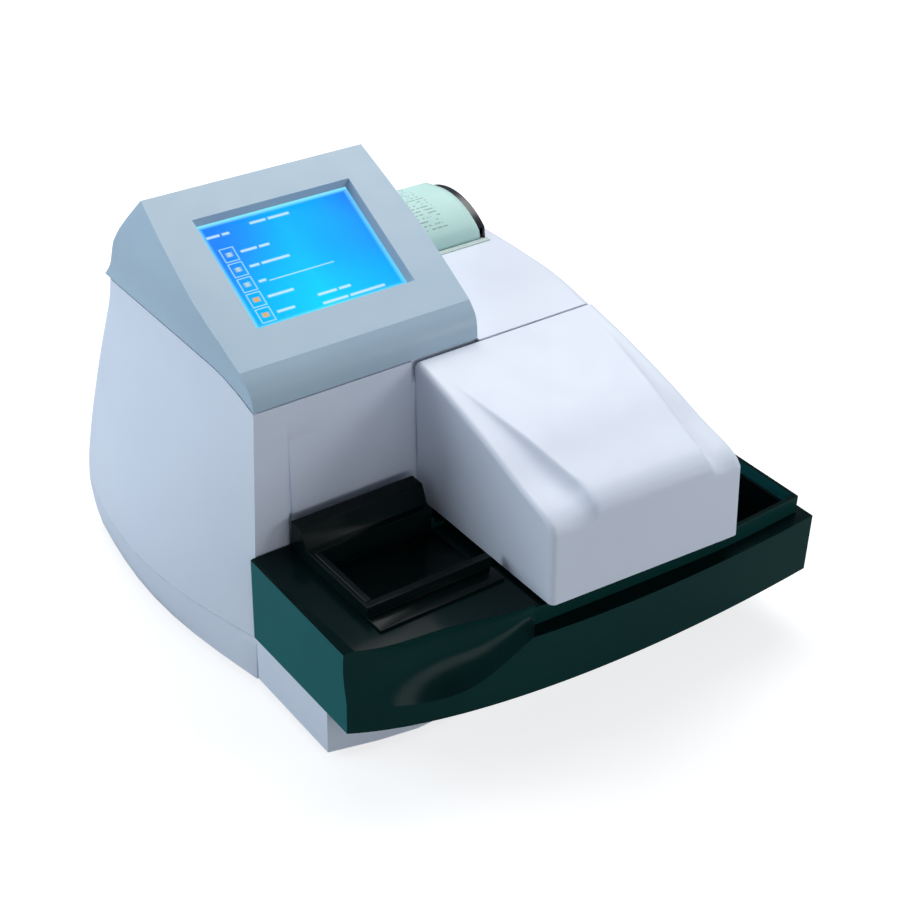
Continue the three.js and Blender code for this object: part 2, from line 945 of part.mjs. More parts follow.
function topDeck() {
  const back = topDepth - clearance;
  const rise = deckHeight - coverTop;
  const rings = (inset) => {
    const front = seamGap + (inset ? deckSetback + shellWall : 0);
    return deckStationShares.map(([along, up]) =>
      deckRing(mix(front, back - inset, along), coverTop + rise * up, inset),
    );
  };
  const shell = cut(loft(rings(0), ["x", "z"]), loft(rings(shellWall), ["x", "z"]));
  const bay = block(bayLeft, bayRight, bayFront, bayBack, deckSkirtHeight, deckHeight + overrun);
  const relief = block(
    deckLeft - overrun,
    bodyWidth + overrun * 3,
    -overrun,
    deckSetback,
    deckSkirtHeight - overrun,
    coverTop - deckLip,
  );
  const lugs = [bayLeft - lidLug, bayRight].map((x) =>
    block(
      x,
      x + lidLug,
      lidPivotDepth - lidPivotRadius,
      bayBack + shellWall / 2,
      lidPivotHeight - lidPivotRadius,
      deckHeight - shellWall / 2,
    ),
  );
  const pinBore = rodX(
    lidPivotDepth,
    lidPivotHeight,
    lidPinRadius + clearance,
    bayLeft - overrun,
    bayRight + overrun,
    12,
  );
  return cut(joined(cut(shell, bay, relief), ...lugs), pinBore);
}

// Printer
function chassis() {
  const left = bayLeft - chassisGap;
  const right = bayRight + chassisGap;
  const front = bayFront - chassisGap;
  const back = bayBack - clearance;
  const top = deckHeight - shellWall - clearance;
  const wallTop = deckHeight - deckRounding - shellWall;
  const tub = cut(
    block(left, right, front, back, chassisFloor, wallTop),
    block(
      left + lidCheek,
      right - lidCheek,
      front - overrun,
      back - lidCheek,
      chassisFloor + shellWall,
      top + overrun,
    ),
  );
  const flange = block(left, left + lidCheek, front, back - cornerRadius, chassisFloor, top);
  const cradleTop = feedGearHeight - feedMotorRadius - clearance;
  const cradle = block(
    feedMotorLeft,
    feedMotorLeft + feedMotorLength,
    feedGearDepth - feedMotorRadius,
    feedGearDepth + feedMotorRadius,
    chassisFloor,
    cradleTop,
  );
  const headPost = block(
    bayLeft + lidCheek,
    bayRight - lidCheek,
    front,
    thermalBack - thermalHeadThickness - clearance,
    chassisFloor,
    top,
  );
  const spindleHoles = rodX(rollDepth, rollHeight, spindleRadius + clearance, left - overrun, right + overrun);
  return cut(joined(tub, flange, cradle, headPost), spindleHoles);
}

const paperLeft = (bayLeft + bayRight) / 2 - paperWidth / 2;
const paperRight = paperLeft + paperWidth;
const paperFront = platenDepth - platenRadius - clearance - paperThickness;
const thermalBack = paperFront - clearance * 2;
const feedGearDepth = platenDepth;
const feedGearHeight = platenHeight - (gearModule * (platenTeeth + feedTeeth)) / 2;
const gearLeft = paperRight + clearance;
const feedMotorLeft = gearLeft - clearance * 6 - feedMotorLength;

function gear(teeth, x0, x1, y, z, bore, turn) {
  const radius = (gearModule * teeth) / 2;
  const outer = radius + gearModule * 0.85;
  const root = radius - gearModule * 1.15;
  const toothShares = [
    [root, -0.29],
    [outer, -0.12],
    [outer, 0.12],
    [root, 0.29],
  ];
  const outline = [];
  for (let tooth = 0; tooth < teeth; tooth++) {
    toothShares.forEach(([r, share]) => {
      const angle = ((tooth + share + turn) / teeth) * Math.PI * 2;
      outline.push([y + r * Math.cos(angle), z + r * Math.sin(angle)]);
    });
  }
  return cut(alongX(outline, x0, x1), rodX(y, z, bore, x0 - overrun, x1 + overrun, 12));
}

function lidOutline() {
  const outer = arc(lidCentreDepth, lidCentreHeight, lidRadius, lidFrontTurn, lidBackTurn, 12);
  const pivot = arc(lidPivotDepth, lidPivotHeight, lidPivotRadius, lidPivotTopTurn, lidPivotLowTurn, 6);
  const inner = arc(
    lidCentreDepth,
    lidCentreHeight,
    lidRadius - lidWall,
    lidBackTurn + lidInnerTurn,
    lidFrontTurn - lidInnerTurn,
    12,
  );
  const underPivot = [lidPivotDepth - lidPivotRadius * 2, lidPivotHeight + lidPivotRadius / 2];
  return [...outer, ...pivot, underPivot, ...inner].reverse();
}

function cheekOutline() {
  const front = platenDepth - platenRadius + clearance * 4;
  const outer = arc(lidCentreDepth, lidCentreHeight, lidRadius, lidFrontTurn, lidBackTurn, 12);
  const pivot = arc(lidPivotDepth, lidPivotHeight, lidPivotRadius, lidPivotTopTurn, lidPivotLowTurn, 6);
  return [
    ...outer,
    ...pivot,
    [platenDepth + platenRadius * 2, deckHeight - lidPivotRadius],
    [platenDepth + platenRadius, platenHeight - platenRadius],
    [front, platenHeight - platenRadius],
    [front, platenHeight + platenRadius],
  ].reverse();
}

function printerLid() {
  const left = bayLeft + seamGap;
  const right = bayRight - seamGap;
  const cheeks = [left, right - lidCheek].map((x) => alongX(cheekOutline(), x, x + lidCheek));
  const shaft = rodX(platenDepth, platenHeight, platenShaftRadius + clearance, left - overrun, right + overrun);
  const pin = rodX(lidPivotDepth, lidPivotHeight, lidPinRadius + clearance, left - overrun, right + overrun, 12);
  return cut(joined(alongX(lidOutline(), left, right), ...cheeks), shaft, pin);
}

function ribbon(path, thickness) {
  const offset = path.map(([y, z], i) => {
    const [ya, za] = path[Math.max(0, i - 1)];
    const [yb, zb] = path[Math.min(path.length - 1, i + 1)];
    const run = Math.hypot(yb - ya, zb - za);
    return [y - ((zb - za) / run) * thickness, z + ((yb - ya) / run) * thickness];
  });
  return [...path, ...offset.reverse()];
}

function paperStrip() {
  const lie = lidRadius + paperLift;
  const onLid = arc(lidCentreDepth, lidCentreHeight, lie, paperFrontTurn, paperBackTurn, 10);
  const [endDepth, endHeight] = onLid[onLid.length - 1];
  const fall = THREE.MathUtils.degToRad(paperEndTurn);
  const back = paperFront + paperThickness;
  const path = [
    [back, platenHeight - clearance * 10],
    [back, platenHeight + platenRadius * 1.6],
    [back + paperThickness * 2, platenHeight + platenRadius * 2.3],
    ...onLid,
    [endDepth + paperEndLength * Math.cos(fall) * 0.5, endHeight - paperEndLength * Math.sin(fall) * 0.45],
    [endDepth + paperEndLength * Math.cos(fall), endHeight - paperEndLength * Math.sin(fall) * 0.9],
  ];
  return alongX(ribbon(path, paperThickness).reverse(), paperLeft, paperRight);
}

function tearBar() {
  const back = thermalBack;
  const front = back - tearBarThickness;
  const top = deckHeight + tearBarRise;
  const low = deckHeight - shellWall * 2;
  return alongX(
    [
      [front, deckHeight - shellWall],
      [front, low],
      [back, low],
      [back, top],
      [front + tearBarThickness / 3, deckHeight + tearBarRise / 3],
      [front, deckHeight],
    ].reverse(),
    bayLeft + seamGap,
    bayRight - seamGap,
  );
}

// Hinged cover
// Share along the cover from the hinge to the nose, share of its fall
const coverTopShares = [
  [0, 0.024],
  ...smoothed(
    [
      [0.012, 0],
      [0.13, 0.09],
      [0.36, 0.255],
      [0.58, 0.43],
      [0.76, 0.62],
      [0.88, 0.73],
      [0.93, 0.785],
      [0.97, 0.86],
    ],
    12,
  ),
  [0.99, 0.93],
  [1, 1],
];
const edgeShares = [0, 0.007, 0.018, 0.035, 0.06, 0.1, 0.14, 0.18, 0.215, 0.25, 0.33];
const acrossShares = [...edgeShares, 0.5, ...[...edgeShares].reverse().map((share) => 1 - share)];

function coverRing(along, fall, inset, isNose) {
  const reach = mix(seamGap, coverReach, along) - (isNose ? inset : 0);
  const top = coverTop - coverFall * fall - inset;
  const low = coverBottom - (inset ? overrun : 0);
  const width = scallopWidth * Math.min(1, along + 0.15);
  const strength = THREE.MathUtils.smoothstep(along, 0.2, 0.95);
  const wallX = (side, z) => {
    const share = (coverTop - z) / (coverTop - coverBottom);
    return side < 0 ? coverLeft + coverLeftDraft * share + inset : coverRight + coverRightDraft * share - inset;
  };
  const hollowAt = (distance) => {
    const share = THREE.MathUtils.clamp(distance / width, 0, 1);
    return strength * (scallopDepth * (1 - share) + scallopValley * Math.sin(Math.PI * share));
  };
  const left = wallX(-1, top);
  const right = wallX(1, top);
  const rounding = coverRounding - inset / 2;
  const points = acrossShares.map((share) => {
    const x = mix(left, right, share);
    const distance = Math.min(x - left, right - x);
    const short = Math.max(0, rounding - distance);
    return [x, top - hollowAt(distance) - rounding + Math.sqrt(rounding ** 2 - short ** 2)];
  });
  const ring = [[wallX(1, low), low], ...points.reverse(), [wallX(-1, low), low]].reverse();
  return ring.map(([x, z]) => {
    const skew = coverSkew * mix(1, -1, (x - coverLeft) / (coverRight - coverLeft));
    return new THREE.Vector3(x, -reach + skew * along ** 2, z);
  });
}

function coverShell() {
  const rings = (inset) =>
    coverTopShares.map(([along, fall], i) => coverRing(along, fall, inset, i === coverTopShares.length - 1));
  const inner = rings(coverWall);
  inner.unshift(inner[0].map((p) => p.clone().setY(overrun)));
  const shell = cut(loft(rings(0), ["x", "z"]), loft(inner, ["x", "z"]));
  const bosses = hingePlaces.flatMap((x) =>
    [x - hingeLugWidth / 2 - clearance - hingeBossWidth, x + hingeLugWidth / 2 + clearance].map((left) =>
      joined(
        rodX(hingeDepth, hingeHeight, hingeBossRadius, left, left + hingeBossWidth),
        block(
          left,
          left + hingeBossWidth,
          hingeDepth - hingeBossRadius,
          hingeDepth,
          hingeHeight,
          coverTop - coverWall / 2,
        ),
      ),
    ),
  );
  const bores = hingePlaces.map((x) =>
    rodX(hingeDepth, hingeHeight, hingePinRadius + clearance, x - hingePlateWidth, x + hingePlateWidth, 12),
  );
  return cut(joined(shell, ...bosses), ...bores);
}

const hingePlaces = [coverLeft + hingeInset, coverRight - hingeInset];

function hingeBracket(x) {
  const plateBack = -clearance;
  const plateFront = plateBack - sheetThickness;
  const plateTop = deckSkirtHeight - hingeBossRadius;
  const neckBack = mix(plateFront, plateBack, 0.3);
  const lug = joined(
    rodX(hingeDepth, hingeHeight, hingeLugRadius, x - hingeLugWidth / 2, x + hingeLugWidth / 2),
    block(
      x - hingeLugWidth / 2,
      x + hingeLugWidth / 2,
      hingeDepth,
      neckBack,
      plateTop - hingePlateHeight / 2,
      hingeHeight,
    ),
  );
  const plate = block(
    x - hingePlateWidth / 2,
    x + hingePlateWidth / 2,
    plateFront,
    plateBack,
    plateTop - hingePlateHeight,
    plateTop,
  );
  const bore = rodX(hingeDepth, hingeHeight, hingePinRadius + clearance, x - overrun, x + overrun, 12);
  return cut(joined(lug, plate), bore);
}

function hingePin(x) {
  const half = hingeLugWidth / 2 + clearance + hingeBossWidth;
  return rodX(hingeDepth, hingeHeight, hingePinRadius, x - half, x + half, 12);
}

// Pull-out tray
const trayBottom = toeHeight + clearance;
const trayFloorTop = trayBottom + trayWall;
// Share across the tray, share of the way from its left reach to its middle reach, of the front's two pulls
const frontPullShares = [
  [0.18, 0.745],
  [0.56, 1],
];
const frontCurve = new THREE.CubicBezierCurve(
  new THREE.Vector2(trayLeft, -trayFrontLeft),
  ...frontPullShares.map(([across, reach]) =>
    new THREE.Vector2(mix(trayLeft, trayRight, across), -mix(trayFrontLeft, trayFrontMiddle, reach)),
  ),
  new THREE.Vector2(trayRight, -trayFrontRight),
);
const frontPoints = frontCurve.getPoints(24).map((p) => [p.x, p.y]);

function frontAt(x) {
  return between(frontPoints, x)[1];
}

// Share along the scoop, share of its drop below the tray's top, share of its depth behind the front
const scoopShares = [
  [-0.05, 0.8, 0.1],
  [0, 0.84, 0.13],
  [0.13, 0.92, 0.18],
  [0.25, 0.98, 0.34],
  [0.36, 1, 0.52],
  [0.48, 0.99, 0.66],
  [0.58, 0.92, 0.66],
  [0.67, 0.79, 0.58],
  [0.76, 0.62, 0.52],
  [0.82, 0.5, 0.5],
  [0.88, 0.39, 0.52],
  [0.96, 0.385, 0.6],
];

function scoopCutter() {
  const rings = scoopShares.map(([along, drop, reach]) => {
    const x = trayLeft + scoopSpan * along;
    const face = frontAt(x);
    const low = trayTop - scoopDrop * drop;
    const inner = face + scoopReach * reach;
    const steps = [0, 0.2, 0.4, 0.6, 0.8, 1];
    const curve = steps.map((share) => {
      const turn = (share * Math.PI) / 2;
      return [face + (inner - face) * Math.cos(turn), trayTop - (trayTop - low) * Math.sin(turn)];
    });
    const outline = [
      [face - overrun * 4, low],
      [face - overrun * 4, trayTop + overrun],
      [inner, trayTop + overrun],
      ...curve,
    ];
    return outline.map(([y, z]) => new THREE.Vector3(x, y, z));
  });
  return loft(rings, ["y", "z"]);
}

// Share across the rim's front, share of the way from its left reach to its middle reach
const rimFrontShares = [
  [0.33, 0.62],
  [0.67, 1],
];

function stripTray() {
  const lower = alongZ(
    [[trayLeft, trayRear], ...frontPoints, [trayRight, trayRear]],
    trayBottom,
    trayLedge,
  );
  const rimRight = trayRight - rimInset;
  const rimOutline = (inset) => [
    [inset ? dividerRight : dividerLeft, inset ? -wellRear : trayRear],
    [inset ? dividerRight : dividerLeft, -rimFrontLeft + inset],
    ...rimFrontShares.map(([across, reach]) => [
      mix(dividerRight, rimRight, across),
      inset - mix(rimFrontLeft, rimFrontMiddle, reach),
    ]),
    [rimRight - inset, -rimFrontRight + inset],
    [rimRight - inset, inset ? -wellRear : trayRear],
  ];
  const rim = alongZ(rimOutline(0), trayLedge - trayWall, trayRim);
  const blockRight = dividerLeft - rimInset;
  const left = alongZ(
    [
      [trayLeft, trayRear],
      ...frontPoints.filter(([x]) => x < blockRight),
      [blockRight, frontAt(blockRight)],
      [dividerLeft, -rimFrontLeft],
      [dividerLeft, trayRear],
    ],
    trayLedge - trayWall,
    trayTop,
  );
  const rightWell = alongZ(rimOutline(trayWall), trayFloorTop, trayRim + overrun);
  const leftWell = block(
    leftWellLeft,
    leftWellRight,
    -leftWellFront,
    -wellRear,
    trayFloorTop,
    trayTop + overrun,
  );
  const underLand = block(
    trayLeft + trayWall,
    leftWellLeft + overrun,
    -leftWellFront,
    -wellRear,
    trayFloorTop,
    trayTop - trayWall - landChamferDepth,
  );
  const passage = block(
    leftWellRight - overrun / 2,
    dividerRight + overrun / 2,
    -bedFront - clearance,
    -bedBack + clearance,
    (stageTop + bedFloor) / 2,
    trayTop + overrun,
  );
  const chamfer = (y, share) => [
    new THREE.Vector3(trayLeft - overrun, y, trayTop + overrun),
    new THREE.Vector3(trayLeft - overrun, y, trayTop - landChamferDepth * share),
    new THREE.Vector3(trayLeft, y, trayTop - landChamferDepth * share),
    new THREE.Vector3(trayLeft + landChamfer * share, y, trayTop),
    new THREE.Vector3(trayLeft + landChamfer * share, y, trayTop + overrun),
  ];
  const bevel = loft([chamfer(-trayFrontLeft - overrun, 1), chamfer(trayRear + overrun, 0.15)], ["x", "z"]);
  return cut(joined(lower, rim, left), scoopCutter(), rightWell, leftWell, underLand, passage, bevel);
}

// Strip platform, pusher, stage, comb and bin
const platformLeft = leftWellLeft + clearance;
const platformRight = leftWellRight - clearance;
const platformFront = -leftWellFront + clearance;
const platformBack = -wellRear - clearance;
const bedLeft = platformLeft + bedWallLeft;

function stripPlatform() {
  const low = trayFloorTop + clearance;
  const stepBack = platformFront + platformStepDepth;
  const riseFront = platformBack - platformRiseDepth;
  const body = alongX(
    [
      [platformFront, low],
      [platformBack, low],
      [platformBack, platformRise],
      [riseFront + platformRiseDepth / 3, platformRise],
      [riseFront, platformTop],
      [stepBack, platformTop],
      [stepBack, platformStep],
      [platformFront, platformStep],
    ],
    platformLeft,
    platformRight,
  );
  const bed = block(bedLeft, platformRight + overrun, -bedFront, -bedBack, bedFloor, platformTop + overrun);
  const hollow = block(
    platformLeft + trayWall,
    platformRight - trayWall,
    platformFront + trayWall,
    platformBack - trayWall,
    low - overrun,
    bedFloor - trayWall,
  );
  return cut(body, bed, hollow);
}

function stripPusher() {
  const low = bedFloor + clearance;
  const left = bedLeft + clearance;
  const top = platformTop + clearance;
  const edge = pusherWidth / 4;
  return alongY(
    [
      [left, low],
      [left + pusherWidth, low],
      [left + pusherWidth, top - edge * 2],
      [left + pusherWidth - edge, top],
      [left + edge / 2, top],
      [left, top - edge / 2],
    ],
    -bedFront + clearance,
    -bedBack - clearance,
  );
}

function readingStage() {
  const left = dividerRight + clearance;
  const low = trayFloorTop + clearance;
  const plate = block(left, stageRight, -stageFront, -stageBack, stageTop - stageWall, stageTop);
  const front = block(left, stageRight, -stageFront, -stageFront + stageWall, low, stageTop);
  const back = block(left, stageRight, -stageBack - stageWall, -stageBack, low, stageTop);
  const railTop = combTop - combHeight - clearance;
  const rail = block(
    combLeft - combBar,
    stageRight - combBar,
    -stageFront - combBar * 2,
    -stageFront + stageWall / 2,
    railTop - stageWall,
    railTop,
  );
  return joined(plate, front, back, rail);
}

function transferComb() {
  const back = -stageFront - clearance;
  const bar = block(combLeft, combLeft + combLength, back - combBar, back, combTop - combHeight, combTop);
  const paddleLow = stageTop + clearance * 2;
  const paddles = [];
  for (let paddle = 0; paddle < combPaddles; paddle++) {
    const x = combLeft + (combLength * paddle) / combPaddles;
    paddles.push(
      block(
        x,
        x + combPaddle,
        back - combBar / 2,
        back + combPaddleReach,
        paddleLow,
        paddleLow + combPaddleHeight,
      ),
    );
  }
  return joined(bar, ...paddles);
}

function wasteBin() {
  const left = stageRight + binGap;
  const right = trayRight - rimInset - trayWall - clearance;
  const front = -rimFrontRight + trayWall + clearance;
  const back = -wellRear - clearance;
  const low = trayFloorTop + clearance;
  const tub = cut(
    block(left, right, front, back, low, binTop),
    block(left + binWall, right - binWall, front + binWall, back - binWall, low + binWall, binTop + overrun),
  );
  const middle = (front + back) / 2;
  const grip = block(
    right - binWall - binLip,
    right - binWall / 2,
    middle - binLip * 4,
    middle + binLip * 4,
    binTop - binWall,
    binTop,
  );
  return joined(tub, grip);
}

// Scanning optics
const gantryMiddle = (gantryLeft + gantryRight) / 2;
const rodLeft = gantryLeft + rodInset;
const rodRight = gantryRight - rodInset;
const drivePulleyY = -drivePulleyDepth;
const idlerPulleyY = -idlerPulleyDepth;
const beltInner = pulleyRadius + clearance;

function opticsFrame() {
  const armBack = -gantryBack;
  const front = block(gantryLeft, gantryRight, -gantryFront, -gantryFront + gantryPlate, gantryLow, gantryTop);
  const back = block(gantryLeft, gantryRight, armBack - gantryPlate, armBack, gantryLow, gantryTop);
  const arms = [gantryLeft, gantryRight - gantryArm].map((x) =>
    block(x, x + gantryArm, -gantryFront, armBack, gantryLow, gantryLow + gantryArmHeight),
  );
  const shelfLeft = gantryMiddle - shelfWidth / 2;
  const shelves = [
    [-gantryFront, -gantryFront + shelfLength],
    [armBack - shelfLength, armBack],
  ].map(([y0, y1]) =>
    block(shelfLeft, shelfLeft + shelfWidth, y0, y1, gantryTop - gantryShelf, gantryTop),
  );
  const shaftHoles = [drivePulleyY, idlerPulleyY].map((y) =>
    rodZ(gantryMiddle, y, shaftRadius + clearance, gantryTop - overrun, gantryTop + overrun, 12),
  );
  return cut(joined(front, back, ...arms, ...shelves), ...shaftHoles);
}

function guideRod(x) {
  const inside = gantryPlate + clearance;
  return rodY(x, rodHeight, rodRadius, -gantryFront + inside, -gantryBack - inside);
}

function opticalHead() {
  const left = gantryLeft + scannerSide;
  const right = gantryRight - scannerSide;
  const back = -gantryBack - gantryPlate - scannerHome / 2;
  const front = back - scannerDepth;
  const body = block(left, right, front, back, scannerLow, scannerTop - beltClamp);
  const bores = [rodLeft, rodRight].map((x) =>
    rodY(x, rodHeight, rodRadius + clearance, front - overrun, back + overrun),
  );
  const middle = (front + back) / 2;
  const eye = block(
    left + scannerWindow,
    right - scannerWindow,
    middle - scannerWindow / 2,
    middle + scannerWindow / 2,
    scannerLow - overrun,
    scannerLow + scannerWindowThickness + clearance,
  );
  const strand = gantryMiddle - beltInner - beltThickness - clearance;
  const clamp = block(
    strand - beltClamp,
    strand,
    middle - scannerDepth / 4,
    middle + scannerDepth / 4,
    scannerTop - beltClamp * 2,
    beltHeight + beltWidth / 2,
  );
  return joined(cut(body, ...bores, eye), clamp);
}

function scannerGlass() {
  const left = gantryLeft + scannerSide + scannerWindow + clearance;
  const right = gantryRight - scannerSide - scannerWindow - clearance;
  const middle = -gantryBack - gantryPlate - scannerHome / 2 - scannerDepth / 2;
  const half = scannerWindow / 2 - clearance;
  return block(left, right, middle - half, middle + half, scannerLow, scannerLow + scannerWindowThickness);
}

function pulley(y) {
  const half = pulleyHeight / 2;
  const profile = [
    [shaftRadius + clearance, -half],
    [pulleyRadius, -half],
    [pulleyRadius, half],
    [pulleyRadius + pulleyFlange, half + pulleyFlange / 4],
    [pulleyRadius + pulleyFlange, half + pulleyFlange],
    [shaftRadius + clearance, half + pulleyFlange],
    [shaftRadius + clearance, -half],
  ].map(([r, z]) => new THREE.Vector2(r, z));
  const turned = new THREE.LatheGeometry(profile, 20).rotateX(Math.PI / 2);
  return solid(turned.translate(gantryMiddle, y, beltHeight));
}

function beltLoop(radius) {
  return [
    ...arc(gantryMiddle, drivePulleyY, radius, 0, 180, 10),
    ...arc(gantryMiddle, idlerPulleyY, radius, 180, 360, 10),
  ];
}

function scanBelt() {
  const low = beltHeight - beltWidth / 2;
  const high = beltHeight + beltWidth / 2;
  return cut(
    alongZ(beltLoop(beltInner + beltThickness), low, high),
    alongZ(beltLoop(beltInner), low - overrun, high + overrun),
  );
}

function scanMotor() {
  const low = gantryTop + clearance;
  return joined(
    rodZ(gantryMiddle, drivePulleyY, scanMotorRadius, low, low + scanMotorLength, 24),
    rodZ(gantryMiddle, drivePulleyY, shaftRadius, beltHeight - pulleyHeight / 2, low + scanMotorLength / 2, 12),
  );
}

function idlerPin() {
  const low = gantryTop + clearance;
  return joined(
    rodZ(gantryMiddle, idlerPulleyY, shaftRadius * 2, low, low + shaftRadius, 12),
    rodZ(gantryMiddle, idlerPulleyY, shaftRadius, beltHeight - pulleyHeight / 2, low + shaftRadius, 12),
  );
}

// Electronics and rear panel
const panelFace = panelDepth + clearance + sheetThickness;
const inletLeft = panelLeft + panelFlange * 3;
const switchLeft = inletLeft + inletWidth + panelFlange * 2;
const portLeft = switchLeft + switchWidth + panelFlange * 3;
const panelMiddle = panelBottom + panelHeight / 2;
const ventLeft = portLeft + portWidth + panelFlange * 2;
const panelScrewPlaces = [
  [panelLeft + panelSeat / 2, panelBottom + panelSeat / 2],
  [panelLeft + panelWidth - panelSeat / 2, panelBottom + panelSeat / 2],
  [panelLeft + panelSeat / 2, panelBottom + panelHeight - panelSeat / 2],
  [panelLeft + panelWidth - panelSeat / 2, panelBottom + panelHeight - panelSeat / 2],
];
const portPlaces = [panelMiddle - portHeight * 1.25, panelMiddle + portHeight * 1.25];

function panelScrewHoles() {
  return panelScrewPlaces.map(([x, z]) =>
    rodY(x, z, screwRadius + clearance, panelDepth - shellWall - overrun, panelFace + overrun, 12),
  );
}

function rearPanel() {
  const plate = block(
    panelLeft + clearance,
    panelLeft + panelWidth - clearance,
    panelDepth + clearance,
    panelFace,
    panelBottom + clearance,
    panelBottom + panelHeight - clearance,
  );
  const through = (x, width, middle, height) =>
    block(
      x - clearance,
      x + width + clearance,
      panelDepth - overrun,
      panelFace + overrun,
      middle - height / 2 - clearance,
      middle + height / 2 + clearance,
    );
  const slots = [];
  const ventHalf = panelHeight / 2 - panelFlange * 4;
  for (let x = ventLeft; x + slotPitch < panelLeft + panelWidth - panelFlange * 2; x += slotPitch) {
    slots.push(through(x, slotWidth, panelMiddle, ventHalf * 2));
  }
  return cut(
    plate,
    through(inletLeft, inletWidth, panelMiddle, inletHeight),
    through(switchLeft, switchWidth, panelMiddle, switchHeight),
    ...portPlaces.map((z) => through(portLeft, portWidth, z, portHeight)),
    ...slots,
    ...panelScrewHoles(),
  );
}

function mainsInlet() {
  const low = panelMiddle - inletHeight / 2;
  const high = panelMiddle + inletHeight / 2;
  const back = panelFace + sheetThickness;
  const body = block(inletLeft, inletLeft + inletWidth, panelDepth - inletDepth, back, low, high);
  const flange = block(
    inletLeft - inletWall,
    inletLeft + inletWidth + inletWall,
    panelFace + clearance,
    back,
    low - inletWall,
    high + inletWall,
  );
  const socket = block(
    inletLeft + inletWall,
    inletLeft + inletWidth - inletWall,
    panelDepth - inletDepth + inletWall,
    back + overrun,
    panelMiddle - inletHeight / 4,
    panelMiddle + inletHeight / 4,
  );
  const pinStep = inletWidth / 4;
  const pins = [-1, 0, 1].map((step) =>
    block(
      inletLeft + inletWidth / 2 + step * pinStep - inletWall / 2,
      inletLeft + inletWidth / 2 + step * pinStep + inletWall / 2,
      panelDepth - inletDepth,
      panelDepth - inletDepth / 4,
      panelMiddle - inletWall,
      panelMiddle + inletWall,
    ),
  );
  return joined(cut(joined(body, flange), socket), ...pins);
}

function portSocket(z) {
  const back = panelFace + sheetThickness * 2;
  const body = block(
    portLeft,
    portLeft + portWidth,
    panelDepth - portDepth,
    back,
    z - portHeight / 2,
    z + portHeight / 2,
  );
  const recess = block(
    portLeft + inletWall,
    portLeft + portWidth - inletWall,
    panelDepth - portDepth / 2,
    back + overrun,
    z - portHeight / 2 + inletWall,
    z + portHeight / 2 - inletWall,
  );
  return cut(body, recess);
}

function switchHousing() {
  const low = panelMiddle - switchHeight / 2;
  const high = panelMiddle + switchHeight / 2;
  const back = panelFace + sheetThickness;
  const body = block(switchLeft, switchLeft + switchWidth, panelDepth - switchDepth, back, low, high);
  const socket = block(
    switchLeft + inletWall,
    switchLeft + switchWidth - inletWall,
    panelDepth - switchDepth + inletWall,
    back + overrun,
    low + inletWall,
    high - inletWall,
  );
  return cut(body, socket);
}

const rockerDepth = panelFace - sheetThickness;

function rocker() {
  const half = switchHeight / 2 - inletWall - clearance * 2;
  const face = panelFace + sheetThickness;
  const outline = [
    [face - switchTravelGap, panelMiddle],
    [face + switchTravelGap, panelMiddle + half],
    [rockerDepth - inletWall, panelMiddle + half * 0.8],
    [rockerDepth - inletWall * 2, panelMiddle],
    [rockerDepth - inletWall, panelMiddle - half * 0.8],
    [face + switchTravelGap, panelMiddle - half],
  ];
  const side = inletWall + clearance;
  return alongX(outline, switchLeft + side, switchLeft + switchWidth - side);
}

function mainBoard() {
  const low = baseFloorTop + boardStandoff + clearance;
  const right = mainBoardLeft + mainBoardWidth;
  const back = mainBoardFront + mainBoardDepth;
  const board = block(mainBoardLeft, right, mainBoardFront, back, low, low + boardThickness);
  const chipShares = [
    [0.2, 0.25, 0.14, 0.14, 1],
    [0.5, 0.3, 0.2, 0.2, 1.4],
    [0.75, 0.7, 0.12, 0.16, 3],
    [0.3, 0.7, 0.24, 0.1, 4],
    [0.8, 0.2, 0.1, 0.1, 5],
  ];
  const chips = chipShares.map(([across, along, width, depth, height]) =>
    block(
      mix(mainBoardLeft, right, across - width / 2),
      mix(mainBoardLeft, right, across + width / 2),
      mix(mainBoardFront, back, along - depth / 2),
      mix(mainBoardFront, back, along + depth / 2),
      low,
      low + boardThickness * (1 + height),
    ),
  );
  return joined(board, ...chips);
}

function powerSupply() {
  const left = mainBoardLeft + mainBoardWidth + footRadius;
  const low = baseFloorTop + clearance;
  const box = block(
    left,
    left + supplyWidth,
    mainBoardFront,
    mainBoardFront + supplyDepth,
    low,
    low + supplyHeight,
  );
  const terminals = block(
    left + supplyWidth / 6,
    left + (supplyWidth * 5) / 6,
    mainBoardFront + supplyDepth - clearance,
    mainBoardFront + supplyDepth + inletWall * 4,
    low + supplyHeight / 4,
    low + supplyHeight / 2,
  );
  return joined(box, terminals);
}

// Assembly
part("base_pan", basePan(), materials.housing);
const footNames = ["foot_front_left", "foot_front_right", "foot_rear_left", "foot_rear_right"];
footNames.forEach((name, i) => {
  const [x, y] = footPlaces[i];
  part(name, foot(), materials.rubber).position.set(x, y, 0);
});
part("body_shell", bodyShell(), materials.housing);
part("head_shell", headShell(), materials.housing);
part("top_deck", topDeck(), materials.housing);

const display = new THREE.Group();
display.position.set(0, foldDepth, foldHeight);
display.rotation.x = THREE.MathUtils.degToRad(faceSlope);
analyzer.add(display);
part("touch_panel", displayPlate(lcdMargin / 2, glassTop, glassThickness), materials.glass, display);
part("lcd_module", displayPlate(lcdMargin, lcdTop, lcdThickness), materials.screen, display);
part("display_bracket", displayBracket(), materials.steel, display);
part("display_board", displayBoard(), materials.board, display);
bracketScrewPlaces.forEach(([x, v], i) => {
  const top = bracketTop - sheetThickness - screwHeadHeight - clearance;
  part("display_screw_" + (i + 1), screw(), materials.steel, display).position.set(x, v, top);
});

